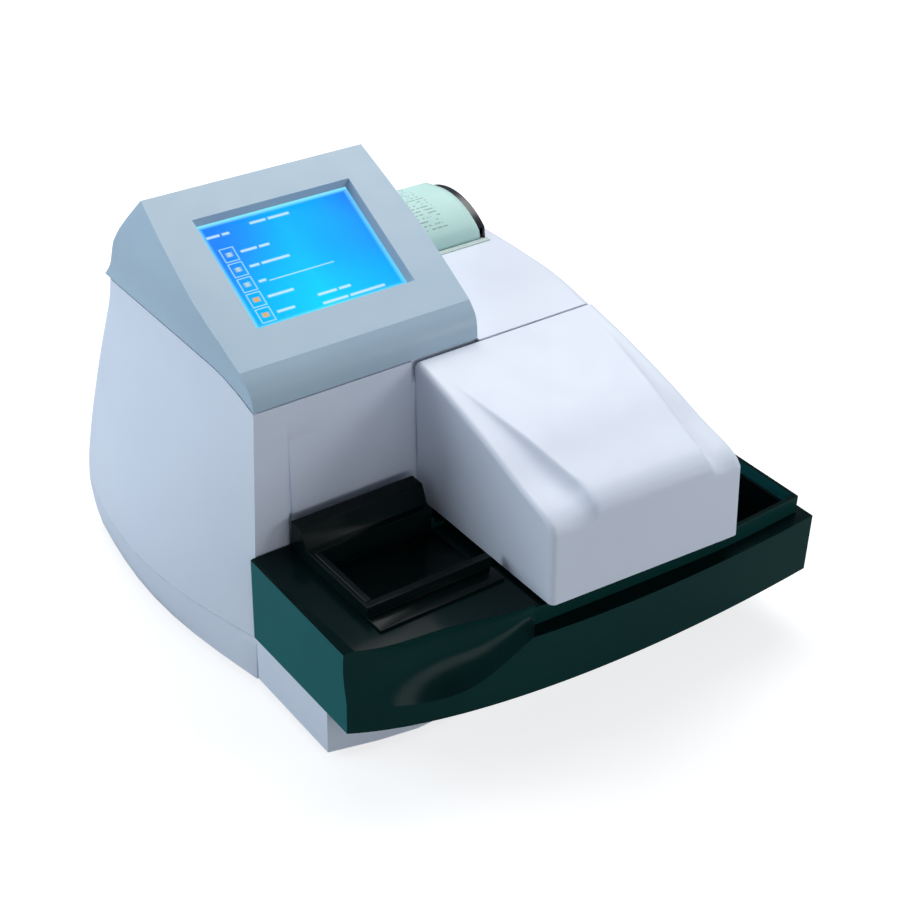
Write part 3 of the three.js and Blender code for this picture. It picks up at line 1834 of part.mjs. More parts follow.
part("printer_chassis", chassis(), materials.steel);
part("printer_lid", printerLid(), materials.black);
part(
  "printer_lid_pin",
  rodX(lidPivotDepth, lidPivotHeight, lidPinRadius, bayLeft - lidLug, bayRight + lidLug, 12),
  materials.steel,
);
part(
  "paper_roll",
  cut(
    rodX(rollDepth, rollHeight, rollRadius, paperLeft, paperRight, 32),
    rodX(rollDepth, rollHeight, rollBore, paperLeft - overrun, paperRight + overrun),
  ),
  materials.paper,
);
const spindleEnd = bayLeft - chassisGap + clearance;
part(
  "roll_spindle",
  joined(
    rodX(rollDepth, rollHeight, spindleRadius, spindleEnd, bayLeft + bayRight - spindleEnd),
    rodX(rollDepth, rollHeight, rollBore - clearance, paperLeft + clearance, paperRight - clearance),
  ),
  materials.nylon,
);
part(
  "platen_roller",
  joined(
    rodX(platenDepth, platenHeight, platenRadius, paperLeft, paperRight - clearance, 20),
    rodX(platenDepth, platenHeight, platenShaftRadius, bayLeft + seamGap, bayRight - seamGap, 12),
  ),
  materials.rubber,
);
const gearRight = gearLeft + gearWidth;
const gearBore = platenShaftRadius + clearance;
// A tooth of the platen gear points down into a gap of the feed gear
const platenTurn = platenTeeth * 0.75;
const feedTurn = feedTeeth * 0.25 + 0.5;
part(
  "platen_gear",
  gear(platenTeeth, gearLeft, gearRight, platenDepth, platenHeight, gearBore, platenTurn),
  materials.nylon,
);
part(
  "feed_gear",
  gear(feedTeeth, gearLeft, gearRight, feedGearDepth, feedGearHeight, gearBore, feedTurn),
  materials.nylon,
);
const feedMotorRight = feedMotorLeft + feedMotorLength;
part(
  "feed_motor",
  joined(
    rodX(feedGearDepth, feedGearHeight, feedMotorRadius, feedMotorLeft, feedMotorRight, 24),
    rodX(feedGearDepth, feedGearHeight, platenShaftRadius, feedMotorLeft, gearRight, 12),
  ),
  materials.steel,
);
part(
  "thermal_head",
  block(
    paperLeft,
    paperRight,
    thermalBack - thermalHeadThickness,
    thermalBack,
    platenHeight - thermalHeadHeight,
    deckHeight - shellWall * 2 - clearance,
  ),
  materials.aluminium,
);
part("tear_bar", tearBar(), materials.glass);
part("paper_strip", paperStrip(), materials.paper);

part("cover", coverShell(), materials.housing);
hingePlaces.forEach((x, i) => {
  const side = ["left", "right"][i];
  part("hinge_bracket_" + side, hingeBracket(x), materials.steel);
  part("hinge_pin_" + side, hingePin(x), materials.steel);
});

part("strip_tray", stripTray(), materials.tray);
part("strip_platform", stripPlatform(), materials.black);
part("strip_pusher", stripPusher(), materials.black);
part("reading_stage", readingStage(), materials.black);
part("transfer_comb", transferComb(), materials.nylon);
part("waste_bin", wasteBin(), materials.black);

part("optics_frame", opticsFrame(), materials.steel);
part("guide_rod_left", guideRod(rodLeft), materials.steel);
part("guide_rod_right", guideRod(rodRight), materials.steel);
part("optical_head", opticalHead(), materials.black);
part("scanner_glass", scannerGlass(), materials.glass);
part("drive_pulley", pulley(drivePulleyY), materials.aluminium);
part("idler_pulley", pulley(idlerPulleyY), materials.aluminium);
part("idler_pin", idlerPin(), materials.steel);
part("scan_belt", scanBelt(), materials.rubber);
part("scan_motor", scanMotor(), materials.steel);

part("rear_panel", rearPanel(), materials.aluminium);
part("mains_inlet", mainsInlet(), materials.black);
part("switch_housing", switchHousing(), materials.black);
part("power_rocker", rocker(), materials.black);
portPlaces.forEach((z, i) => part(["serial_port", "host_port"][i], portSocket(z), materials.steel));
panelScrewPlaces.forEach(([x, z], i) => {
  const made = part("panel_screw_" + (i + 1), screw(), materials.steel);
  made.rotation.x = Math.PI / 2;
  made.position.set(x, panelFace + screwHeadHeight + clearance, z);
});
part("main_board", mainBoard(), materials.board);
part("power_supply", powerSupply(), materials.steel);

// The origin becomes the middle of the underside
const bounds = new THREE.Box3().setFromObject(analyzer, true);
const middle = bounds.getCenter(new THREE.Vector3());
analyzer.position.set(-middle.x, -middle.y, -bounds.min.z);

export default analyzer;
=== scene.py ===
import json
import math

import bmesh
import bpy
from mathutils import Matrix, Vector


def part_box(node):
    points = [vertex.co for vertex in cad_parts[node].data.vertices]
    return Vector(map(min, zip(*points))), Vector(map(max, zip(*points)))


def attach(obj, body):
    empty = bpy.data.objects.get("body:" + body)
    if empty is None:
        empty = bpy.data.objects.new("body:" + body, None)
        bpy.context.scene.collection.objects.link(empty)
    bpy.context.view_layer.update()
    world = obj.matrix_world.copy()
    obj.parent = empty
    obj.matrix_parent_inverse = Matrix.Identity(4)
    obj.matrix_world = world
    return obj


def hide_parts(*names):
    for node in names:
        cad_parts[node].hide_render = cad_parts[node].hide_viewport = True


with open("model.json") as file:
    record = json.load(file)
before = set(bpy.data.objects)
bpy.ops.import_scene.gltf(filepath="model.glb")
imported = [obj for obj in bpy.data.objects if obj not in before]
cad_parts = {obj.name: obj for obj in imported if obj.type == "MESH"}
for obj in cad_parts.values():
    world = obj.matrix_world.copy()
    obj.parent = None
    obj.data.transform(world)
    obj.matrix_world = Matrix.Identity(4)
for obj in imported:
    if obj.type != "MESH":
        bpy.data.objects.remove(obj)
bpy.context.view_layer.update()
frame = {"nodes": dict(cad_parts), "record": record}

nodes = frame["nodes"]
body_of_node = {
    node: body
    for body, members in frame["record"]["behaviour"]["bodies"].items()
    for node in members
}
slot_of_node = {s["node"]: s["material_slot"] for s in frame["record"]["subparts"]}

# The analyzer was drawn in millimetres from the head's front left corner. These two shifts carry such a
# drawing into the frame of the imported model.
TRAY_LEFT, TRAY_REAR = -7.0, -1.0
tray_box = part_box("strip_tray")
SHIFT = Vector((tray_box[0].x * 1000 - TRAY_LEFT, tray_box[1].y * 1000 - TRAY_REAR, 0))
TO_FRAME = Matrix.Scale(0.001, 4) @ Matrix.Translation(SHIFT)


# Materials


class Shader:
    """A material with its node tree, and short ways to add and link nodes."""

    def __init__(self, name):
        self.material = bpy.data.materials.new(name)
        self.material.use_nodes = True
        self.tree = self.material.node_tree
        self.surface = self.tree.nodes["Principled BSDF"]
        self.place = self.add("ShaderNodeTexCoord").outputs["Object"]

    def add(self, kind, **settings):
        node = self.tree.nodes.new(kind)
        for key, value in settings.items():
            setattr(node, key, value)
        return node

    def link(self, source, target):
        self.tree.links.new(source, target)

    def put(self, target, value):
        if hasattr(value, "is_output"):
            self.link(value, target)
        else:
            target.default_value = value

    def set(self, **values):
        for name, value in values.items():
            self.put(self.surface.inputs[name.replace("_", " ")], value)
        return self

    def math(self, operation, a, b=0.0, clamp=False):
        node = self.add("ShaderNodeMath", operation=operation, use_clamp=clamp)
        self.put(node.inputs[0], a)
        self.put(node.inputs[1], b)
        return node.outputs[0]

    def spread(self, value, low, high, to_low=0.0, to_high=1.0):
        node = self.add("ShaderNodeMapRange", interpolation_type="SMOOTHSTEP")
        for socket, amount in zip(node.inputs, (value, low, high, to_low, to_high)):
            self.put(socket, amount)
        return node.outputs[0]

    def mix(self, share, a, b):
        # The Mix node has one A, B and Result for each kind of value: these numbers are the colours
        node = self.add("ShaderNodeMix", data_type="RGBA", blend_type="MIX")
        self.put(node.inputs["Factor"], share)
        self.put(node.inputs[6], a)
        self.put(node.inputs[7], b)
        return node.outputs[2]

    def noise(self, scale, detail=2.0, roughness=0.5, stretch=None):
        where = self.place
        if stretch:
            mapping = self.add("ShaderNodeMapping")
            self.link(where, mapping.inputs["Vector"])
            mapping.inputs["Scale"].default_value = stretch
            where = mapping.outputs["Vector"]
        node = self.add("ShaderNodeTexNoise")
        self.link(where, node.inputs["Vector"])
        node.inputs["Scale"].default_value = scale
        node.inputs["Detail"].default_value = detail
        node.inputs["Roughness"].default_value = roughness
        return node.outputs["Fac"]

    def bump(self, height, distance, strength=1.0):
        node = self.add("ShaderNodeBump")
        self.link(height, node.inputs["Height"])
        node.inputs["Distance"].default_value = distance
        node.inputs["Strength"].default_value = strength
        self.link(node.outputs["Normal"], self.surface.inputs["Normal"])


def srgb(red, green, blue):
    """A colour of the screen, 0 to 255, as the light values that a shader takes."""
    shares = [channel / 255 for channel in (red, green, blue)]
    lit = [s / 12.92 if s <= 0.04045 else ((s + 0.055) / 1.055) ** 2.4 for s in shares]
    return (*lit, 1.0)


def moulded(name, colour, shade, roughness, grain=0.00006, grain_scale=1400.0):
    """Moulded plastic: a faint cloud between two tones, a fine grain, and a roughness that wanders."""
    s = Shader(name)
    cloud = s.noise(9.0, 3.0)
    s.set(Base_Color=s.mix(s.spread(cloud, 0.3, 0.7), colour, shade))
    s.set(Roughness=s.spread(s.noise(60.0, 3.0), 0.25, 0.75, roughness - 0.04, roughness + 0.05))
    s.bump(s.noise(grain_scale, 2.0), grain, 0.6)
    return s.material


def brushed(name, colour, roughness):
    """Plated or ground metal with fine lines along one direction."""
    s = Shader(name)
    lines = s.noise(3.0, 4.0, 0.6, stretch=(6.0, 260.0, 260.0))
    s.set(Base_Color=s.mix(s.spread(lines, 0.3, 0.7), colour, tuple(c * 0.82 for c in colour[:3]) + (1.0,)))
    s.set(Metallic=1.0, Roughness=s.spread(lines, 0.2, 0.8, roughness - 0.06, roughness + 0.1))
    s.bump(lines, 0.00004, 0.5)
    return s.material


def shade_painted_plastic(name, side, front, top, roughness, gloss):
    """Deep tinted plastic, with painted shade: its colour is painted darker on faces that point to the
    front, and darker still on level faces.
    """
    s = Shader(name)
    # Painted shade: the side tone darkens to the front tone on faces that point forward, and to the top
    # tone on level faces.
    facing = s.add("ShaderNodeSeparateXYZ")
    s.link(s.add("ShaderNodeNewGeometry").outputs["Normal"], facing.inputs[0])
    level = s.spread(facing.outputs[2], 0.3, 0.85)
    cloud = s.spread(s.noise(9.0, 3.0), 0.3, 0.7, 0.0, 0.12)
    upright = s.mix(s.spread(facing.outputs[1], -0.2, -0.75), side, front)
    tone = s.mix(s.math("ADD", level, cloud, True), upright, top)
    s.set(Base_Color=tone, Specular_IOR_Level=gloss)
    s.set(Roughness=s.spread(s.noise(60.0, 3.0), 0.25, 0.75, roughness - 0.03, roughness + 0.05))
    s.bump(s.noise(500.0, 1.0), 0.00001, 0.4)
    return s.material


def rubber(name, colour):
    """Dull rubber with a fine grain."""
    s = Shader(name)
    s.set(Base_Color=s.mix(s.noise(40.0, 3.0), colour, tuple(c * 1.7 for c in colour[:3]) + (1.0,)))
    s.set(Roughness=0.75, Specular_IOR_Level=0.35)
    s.bump(s.noise(2200.0, 2.0), 0.00008, 0.6)
    return s.material


def clear(name, tint, roughness=0.03, bend=1.45, passed=0.96):
    """A clear sheet. bend is its index of refraction, passed the share of light that goes through."""
    s = Shader(name)
    s.set(Base_Color=tint, Roughness=s.spread(s.noise(30.0), 0.3, 0.7, roughness, roughness + 0.04))
    s.set(Transmission_Weight=passed, IOR=bend)
    return s.material


def board(name):
    """Solder mask in two greens, with paler tracks."""
    s = Shader(name)
    tracks = s.add("ShaderNodeTexBrick", offset=0.37, squash=0.7)
    s.link(s.place, tracks.inputs["Vector"])
    tracks.inputs["Scale"].default_value = 90.0
    tracks.inputs["Mortar Size"].default_value = 0.018
    tracks.inputs["Color1"].default_value = srgb(22, 92, 52)
    tracks.inputs["Color2"].default_value = srgb(18, 82, 46)
    tracks.inputs["Mortar"].default_value = srgb(60, 140, 84)
    s.set(Base_Color=tracks.outputs["Color"], Roughness=0.35)
    s.bump(tracks.outputs["Fac"], 0.00005, 0.5)
    return s.material


def lit_screen():
    """The display's picture: a blue ground that glows at its borders, a column of boxes, and plain bars."""
    s = Shader("lit_screen")
    axes = s.add("ShaderNodeSeparateXYZ")
    s.link(s.place, axes.inputs[0])
    low = TO_FRAME @ Vector(face_place(*WINDOW[0]))
    x, y, z = (s.math("SUBTRACT", axes.outputs[k], low[k]) for k in range(3))
    run = s.math(
        "ADD", s.math("MULTIPLY", y, math.cos(FACE_SLOPE)), s.math("MULTIPLY", z, math.sin(FACE_SLOPE))
    )
    wide, tall = ((WINDOW[1][k] - WINDOW[0][k]) / 1000 for k in (0, 1))
    across, up = s.math("DIVIDE", x, wide), s.math("DIVIDE", run, tall)

    def band(value, low, high, soft):
        rise = s.spread(value, low - soft, low + soft)
        return s.math("SUBTRACT", rise, s.spread(value, high - soft, high + soft), True)

    def patch(left, right, low, high, soft=0.004, row=None):
        height = up if row is None else row
        return s.math("MULTIPLY", band(across, left, right, soft), band(height, low, high, soft))

    def together(*values):
        total = values[0]
        for value in values[1:]:
            total = s.math("MAXIMUM", total, value)
        return total

    drift = s.math("MULTIPLY", s.math("SUBTRACT", s.noise(14.0, 1.0), 0.5), 0.5)
    off_middle = s.math("ABSOLUTE", s.math("MULTIPLY", s.math("SUBTRACT", across, 0.5), 2.0))
    hump = s.math("MULTIPLY", s.math("SUBTRACT", 1.0, off_middle), 0.5)
    fade = s.math("ADD", s.math("MULTIPLY", s.math("SUBTRACT", 1.0, up), 0.45), hump)
    ground = s.add("ShaderNodeValToRGB")
    s.link(s.math("ADD", fade, drift, True), ground.inputs["Fac"])
    ramp = ground.color_ramp
    ramp.elements[0].position, ramp.elements[0].color = 0.1, srgb(30, 134, 250)
    ramp.elements[1].position, ramp.elements[1].color = 0.95, srgb(0, 222, 255)
    middle = ramp.elements.new(0.45)
    middle.color = srgb(0, 178, 255)
    sides = together(
        s.spread(across, 0.06, 0.02), s.spread(across, 0.955, 0.98, 0.0, 0.5),
        s.spread(up, 0.945, 0.98, 0.0, 0.9), s.spread(up, 0.075, 0.02),
    )
    colour = s.mix(sides, ground.outputs["Color"], srgb(150, 246, 255))
    list_low, list_top, cell_height = 0.065, 0.76, 0.139
    cell = s.math("FRACT", s.math("DIVIDE", s.math("SUBTRACT", up, list_low), cell_height))
    listed = band(up, list_low, list_top, 0.002)
    outer = patch(0.076, 0.164, 0.05, 0.95, 0.004, cell)
    inner = patch(0.082, 0.158, 0.105, 0.895, 0.004, cell)
    border = s.math("SUBTRACT", outer, inner)
    dot = patch(0.104, 0.136, 0.36, 0.64, 0.012, cell)
    warm = s.math("MULTIPLY", dot, band(up, list_low, list_low + 2 * cell_height, 0.002))
    words = together(
        patch(0.05, 0.13, 0.859, 0.881), patch(0.145, 0.19, 0.859, 0.881),
        patch(0.33, 0.43, 0.889, 0.911), patch(0.445, 0.58, 0.889, 0.911),
        patch(0.19, 0.29, 0.679, 0.701), patch(0.305, 0.37, 0.679, 0.701),
        patch(0.19, 0.25, 0.539, 0.561), patch(0.265, 0.44, 0.539, 0.561),
        patch(0.19, 0.235, 0.399, 0.421), patch(0.25, 0.66, 0.39, 0.398, 0.002),
        patch(0.19, 0.35, 0.259, 0.281), patch(0.19, 0.3, 0.119, 0.141),
        patch(0.46, 0.58, 0.154, 0.176), patch(0.595, 0.67, 0.154, 0.176),
        patch(0.46, 0.62, 0.074, 0.096), patch(0.635, 0.86, 0.074, 0.096),
    )
    colour = s.mix(s.math("MULTIPLY", words, 0.8), colour, srgb(214, 244, 255))
    for mark, strength, tone in ((border, 0.8, (190, 240, 255)), (dot, 0.85, (200, 226, 214))):
        colour = s.mix(s.math("MULTIPLY", s.math("MULTIPLY", mark, listed), strength), colour, srgb(*tone))
    colour = s.mix(warm, colour, srgb(236, 178, 96))
    s.set(Base_Color=(0.002, 0.01, 0.02, 1.0), Roughness=0.5, Specular_IOR_Level=0.03)
    s.set(Emission_Color=colour, Emission_Strength=1.0)
    s.bump(s.noise(900.0, 1.0), 0.00001, 0.3)
    return s.material


def printed_paper():
    """Thermal paper with faint rows of plain dashes down its left half."""
    s = Shader("printed_thermal_paper")
    axes = s.add("ShaderNodeSeparateXYZ")
    s.link(s.place, axes.inputs[0])
    middle = TO_FRAME @ Vector((205.5, 155, 185))
    x = s.math("SUBTRACT", axes.outputs[0], middle.x)
    y, z = s.math("SUBTRACT", axes.outputs[1], middle.y), s.math("SUBTRACT", axes.outputs[2], middle.z)
    turn = s.math("ARCTAN2", z, y)
    rows = s.math("FRACT", s.math("MULTIPLY", turn, 16.0))
    dash = s.math("GREATER_THAN", s.noise(420.0, 0.0, stretch=(1.0, 0.35, 0.35)), 0.5)
    inside = s.math("MULTIPLY", s.spread(x, 0.005, 0.0055), s.spread(x, 0.033, 0.0325))
    inside = s.math("MULTIPLY", inside, s.spread(turn, 2.2, 2.15))
    ink = s.math("MULTIPLY", s.math("MULTIPLY", s.math("LESS_THAN", rows, 0.32), dash), inside)
    paper = s.mix(s.spread(s.noise(14.0), 0.3, 0.7), srgb(192, 228, 222), srgb(184, 219, 213))
    s.set(Base_Color=s.mix(s.math("MULTIPLY", ink, 0.55), paper, srgb(70, 92, 92)), Roughness=0.6)
    s.bump(s.noise(1500.0, 2.0), 0.00003, 0.5)
    return s.material


finishes = {
    "housing_plastic": moulded("pale_housing_abs", srgb(229, 236, 249), srgb(226, 233, 247), 0.42),
    "head_plastic": moulded("grey_blue_head_abs", srgb(177, 201, 218), srgb(173, 197, 215), 0.4),
    # Painted shade: the tray's front and top tones and the black plastic's top tone are darker copies of
    # their side tones.
    "tray_plastic": shade_painted_plastic(
        "deep_green_tray_abs", srgb(28, 104, 106), srgb(17, 56, 54), srgb(6, 24, 24), 0.14, 0.07
    ),
    "black_plastic": shade_painted_plastic(
        "black_gloss_abs", srgb(8, 22, 22), srgb(8, 22, 22), srgb(5, 15, 15), 0.2, 0.08
    ),
    "rubber": rubber("black_rubber", srgb(26, 26, 27)),
    "steel": brushed("zinc_plated_steel", srgb(190, 193, 197), 0.34),
    "aluminium": brushed("satin_aluminium", srgb(205, 208, 212), 0.38),
    "clear_panel": clear("clear_panel", srgb(235, 247, 252)),
    "tear_bar_plastic": moulded("pale_tear_bar", srgb(186, 208, 202), srgb(178, 202, 196), 0.25),
    "circuit_board": board("green_solder_mask"),
    "paper": moulded("thermal_paper_edge", srgb(222, 234, 228), srgb(214, 228, 222), 0.7, 0.00004, 1800.0),
    "nylon": moulded("natural_nylon", srgb(226, 224, 214), srgb(218, 216, 205), 0.5),
}
housing, head_plastic = finishes["housing_plastic"], finishes["head_plastic"]


# Pieces


def piece(name, bm, body, look, replaced=(), turn=32.0, bevel=0.0, steps=2, sharp=40.0):
    """Makes the object of a finished bmesh that is already in the frame, in metres."""
    mesh = bpy.data.meshes.new(name)
    bm.to_mesh(mesh)
    bm.free()
    mesh.materials.append(look)
    mesh.shade_smooth()
    mesh.set_sharp_from_angle(angle=math.radians(turn))
    made = bpy.data.objects.new(name, mesh)
    bpy.context.scene.collection.objects.link(made)
    if bevel:
        edge = made.modifiers.new("Edge", "BEVEL")
        edge.width = bevel / 1000
        edge.segments = steps
        edge.limit_method = "ANGLE"
        edge.angle_limit = math.radians(sharp)
        edge.use_clamp_overlap = True
        edge.harden_normals = True
    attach(made, body)
    if replaced:
        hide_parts(*replaced)
    return made


def merged_copy(node):
    """A node's solid as one welded mesh, with the cuts across its flat faces taken out."""
    bm = bmesh.new()
    bm.from_mesh(nodes[node].data)
    bmesh.ops.remove_doubles(bm, verts=bm.verts, dist=1e-6)
    bmesh.ops.dissolve_limit(
        bm, angle_limit=math.radians(0.4), verts=bm.verts, edges=bm.edges, use_dissolve_boundaries=False
    )
    return bm


def dress(node, look=None):
    """Shows a node by a copy of its solid with rounded edges, in its finish."""
    slot = slot_of_node[node]
    return piece(
        node + "_dressed", merged_copy(node), body_of_node[node], look or finishes[slot],
        (node,), bevel=0.35,
    )


# Shapes


def mix(low, high, share):
    return low + (high - low) * share


def clamped(value):
    return max(0.0, min(1.0, value))


def eased(rows, place):
    """Values of a table at a place between its rows, on a smooth curve through them."""
    last = len(rows) - 1
    k = next((i for i in range(last) if place <= rows[i + 1][0]), last - 1)
    step = rows[k + 1][0] - rows[k][0]
    t = clamped((place - rows[k][0]) / step)
    values = []
    for column in range(1, len(rows[0])):
        def slope(i):
            low, high = max(0, i - 1), min(last, i + 1)
            return (rows[high][column] - rows[low][column]) / (rows[high][0] - rows[low][0])
        start, end = rows[k][column], rows[k + 1][column]
        values.append(
            start * (2 * t**3 - 3 * t**2 + 1) + end * (3 * t**2 - 2 * t**3)
            + step * slope(k) * (t**3 - 2 * t**2 + t) + step * slope(k + 1) * (t**3 - t**2)
        )
    return values


def straight(rows, place):
    """The value of a table at a place between its rows, on straight lines."""
    last = len(rows) - 1
    k = next((i for i in range(last) if place <= rows[i + 1][0]), last - 1)
    t = clamped((place - rows[k][0]) / (rows[k + 1][0] - rows[k][0]))
    return mix(rows[k][1], rows[k + 1][1], t)


def spaced(*stops):
    """Places from stop to stop: a stop is a place, or a place and the steps that lead to it."""
    places = []
    for stop in stops:
        place, steps = stop if isinstance(stop, tuple) else (stop, 1)
        if not places:
            places.append(place)
            continue
        start = places[-1]
        places += [mix(start, place, (i + 1) / steps) for i in range(steps)]
    return places


def quilt(rows, bm=None):
    """A sheet of quads whose corners are the given rows of places, in the drawing's millimetres."""
    bm = bm or bmesh.new()
    across, along = len(rows[0]) - 1, len(rows) - 1
    made = bmesh.ops.create_grid(bm, x_segments=across, y_segments=along, size=1.0)
    for v in made["verts"]:
        i, j = round((v.co.x + 1) / 2 * across), round((v.co.y + 1) / 2 * along)
        v.co = TO_FRAME @ Vector(rows[j][i])
    return bm


def welded(bm):
    """Closes the seams of a sheet and turns its faces outwards."""
    bmesh.ops.remove_doubles(bm, verts=bm.verts, dist=2e-6)
    bmesh.ops.dissolve_degenerate(bm, dist=1e-7, edges=bm.edges)
    bmesh.ops.recalc_face_normals(bm, faces=bm.faces)
    return bm


def drawn(place):
    """A place of the frame in the drawing's millimetres."""
    return Vector(place) * 1000 - SHIFT


def faces_within(bm, low, high):
    """Faces whose middle lies between two corners of the drawing."""
    found = []
    for face in bm.faces:
        middle = drawn(face.calc_center_median())
        if all(low[k] < middle[k] < high[k] for k in range(3)):
            found.append(face)
    return found


def split(bm, place, normal, part=None):
    """Cuts a mesh, or part of it, along a plane, and keeps both sides."""
    bmesh.ops.bisect_plane(
        bm, geom=part or [*bm.verts, *bm.edges, *bm.faces], dist=1e-7,
        plane_co=TO_FRAME @ Vector(place), plane_no=normal,
    )


def walled(made, thickness):
    """Gives a shell its wall, inwards from the outer skin, ahead of the rounding of its edges."""
    wall = made.modifiers.new("Wall", "SOLIDIFY")
    wall.thickness = thickness / 1000
    wall.offset = -1.0
    wall.use_even_offset = True
    wall.use_quality_normals = True
    if len(made.modifiers) > 1:
        made.modifiers.move(len(made.modifiers) - 1, 0)
    return made


def prism(outline, low, high, axis):
    """A closed prism: an outline of two coordinates, pushed along the axis that they leave out."""
    def place(a, b, c):
        return TO_FRAME @ Vector({"x": (c, a, b), "y": (a, c, b), "z": (a, b, c)}[axis])
    bm = bmesh.new()
    start = bm.faces.new([bm.verts.new(place(a, b, low)) for a, b in outline])
    grown = bmesh.ops.extrude_face_region(bm, geom=[start], use_keep_orig=True)
    push = place(0, 0, high) - place(0, 0, low)
    bmesh.ops.translate(bm, vec=push, verts=[g for g in grown["geom"] if isinstance(g, bmesh.types.BMVert)])
    bmesh.ops.recalc_face_normals(bm, faces=bm.faces)
    return bm


def lofted(rows):
    """A closed solid through rings of places."""
    bm = quilt([[*row, row[0]] for row in rows])
    bmesh.ops.remove_doubles(bm, verts=bm.verts, dist=2e-6)
    open_edges = [e for e in bm.edges if e.is_boundary]
    bmesh.ops.edgenet_fill(bm, edges=open_edges)
    bmesh.ops.recalc_face_normals(bm, faces=bm.faces)
    return bm


def carved(base, *steps):
    """Joins and cuts closed shapes. Each step is the word join or cut, and a shape."""
    helpers = []
    for bm in (base, *(shape for _, shape in steps)):
        mesh = bpy.data.meshes.new("blank")
        bm.to_mesh(mesh)
        bm.free()
        helper = bpy.data.objects.new("blank", mesh)
        bpy.context.scene.collection.objects.link(helper)
        helpers.append(helper)
    for helper, (word, _) in zip(helpers[1:], steps):
        step = helpers[0].modifiers.new(word, "BOOLEAN")
        step.operation = "UNION" if word == "join" else "DIFFERENCE"
        step.solver = "EXACT"
        step.object = helper
    ready = helpers[0].evaluated_get(bpy.context.evaluated_depsgraph_get())
    bm = bmesh.new()
    bm.from_mesh(ready.to_mesh())
    ready.to_mesh_clear()
    for helper in helpers:
        mesh = helper.data
        bpy.data.objects.remove(helper)
        bpy.data.meshes.remove(mesh)
    bmesh.ops.remove_doubles(bm, verts=bm.verts, dist=1e-6)
    bmesh.ops.dissolve_limit(bm, angle_limit=0.002, verts=bm.verts, edges=bm.edges)
    return bm


def arc(y, z, radius, start, end, steps):
    """Places round a middle, from one angle to another in degrees."""
    turns = [math.radians(mix(start, end, i / steps)) for i in range(steps + 1)]
    return [(y + radius * math.cos(a), z + radius * math.sin(a)) for a in turns]


# Housing: the height share up the body, the share of the side's bulge, the share of the extra depth
BODY_LOW, BODY_TOP, BASE_TOP = 39.3, 226.5, 38.7
TOP_DEPTH, LOW_DEPTH = 207.0, 248.0
CORNER = 12.0
BODY_LEVELS = [
    (0, 1, 1), (0.12, 1, 0.95), (0.32, 0.86, 0.76), (0.59, 0.52, 0.46), (0.8, 0.2, 0.2),
    (0.9, 0.06, 0.07), (1, 0, 0),
]
# Up to here the body's levels are flat, and above they lean towards the seam under the head
FLAT_TOP = 150.0
# The recess in the front sinks from its top down, and a fine groove follows its left edge
RECESS_LEFT, RECESS_RIGHT, RECESS_LOW, RECESS_TOP = 24.0, 128.5, 50.0, 200.0
RECESS_DEPTH, RECESS_RUN = 3.0, 74.0
GROOVE, GROOVE_DEPTH, GROOVE_RUN = (25.0, 25.4), 1.3, 50.0
# The front is set back behind the cover's heel, right of this place and above this height
HEEL_LEFT, HEEL_LOW, HEEL_ROOM = 121.5, 203.5, 3.0
# The rear panel's recess and the opening behind it, by their low and high corners, and where its seat is
PANEL_RECESS = ((64, 59), (216, 131))
PANEL_OPENING = ((73, 68), (207, 122))
PANEL_SEAT = 226.0
HEAD_GAP = 1.0
SEAM = [(0, 217), (17.33, 221.75), (34.67, 225.08), (52, 226.5), (206, 226.5), (250, 226.5)]
DECK_LEFT, DECK_LOW = 177.0, 206.0


def left_corner(z):
    """Where the body's front left corner stands at a height."""
    return 1 - 6 * (BODY_TOP - z) / (BODY_TOP - BASE_TOP)


def right_corner(z):
    """Where the body's front right corner stands at a height."""
    return 276 + 4 * (BODY_TOP - z) / (BODY_TOP - BASE_TOP)


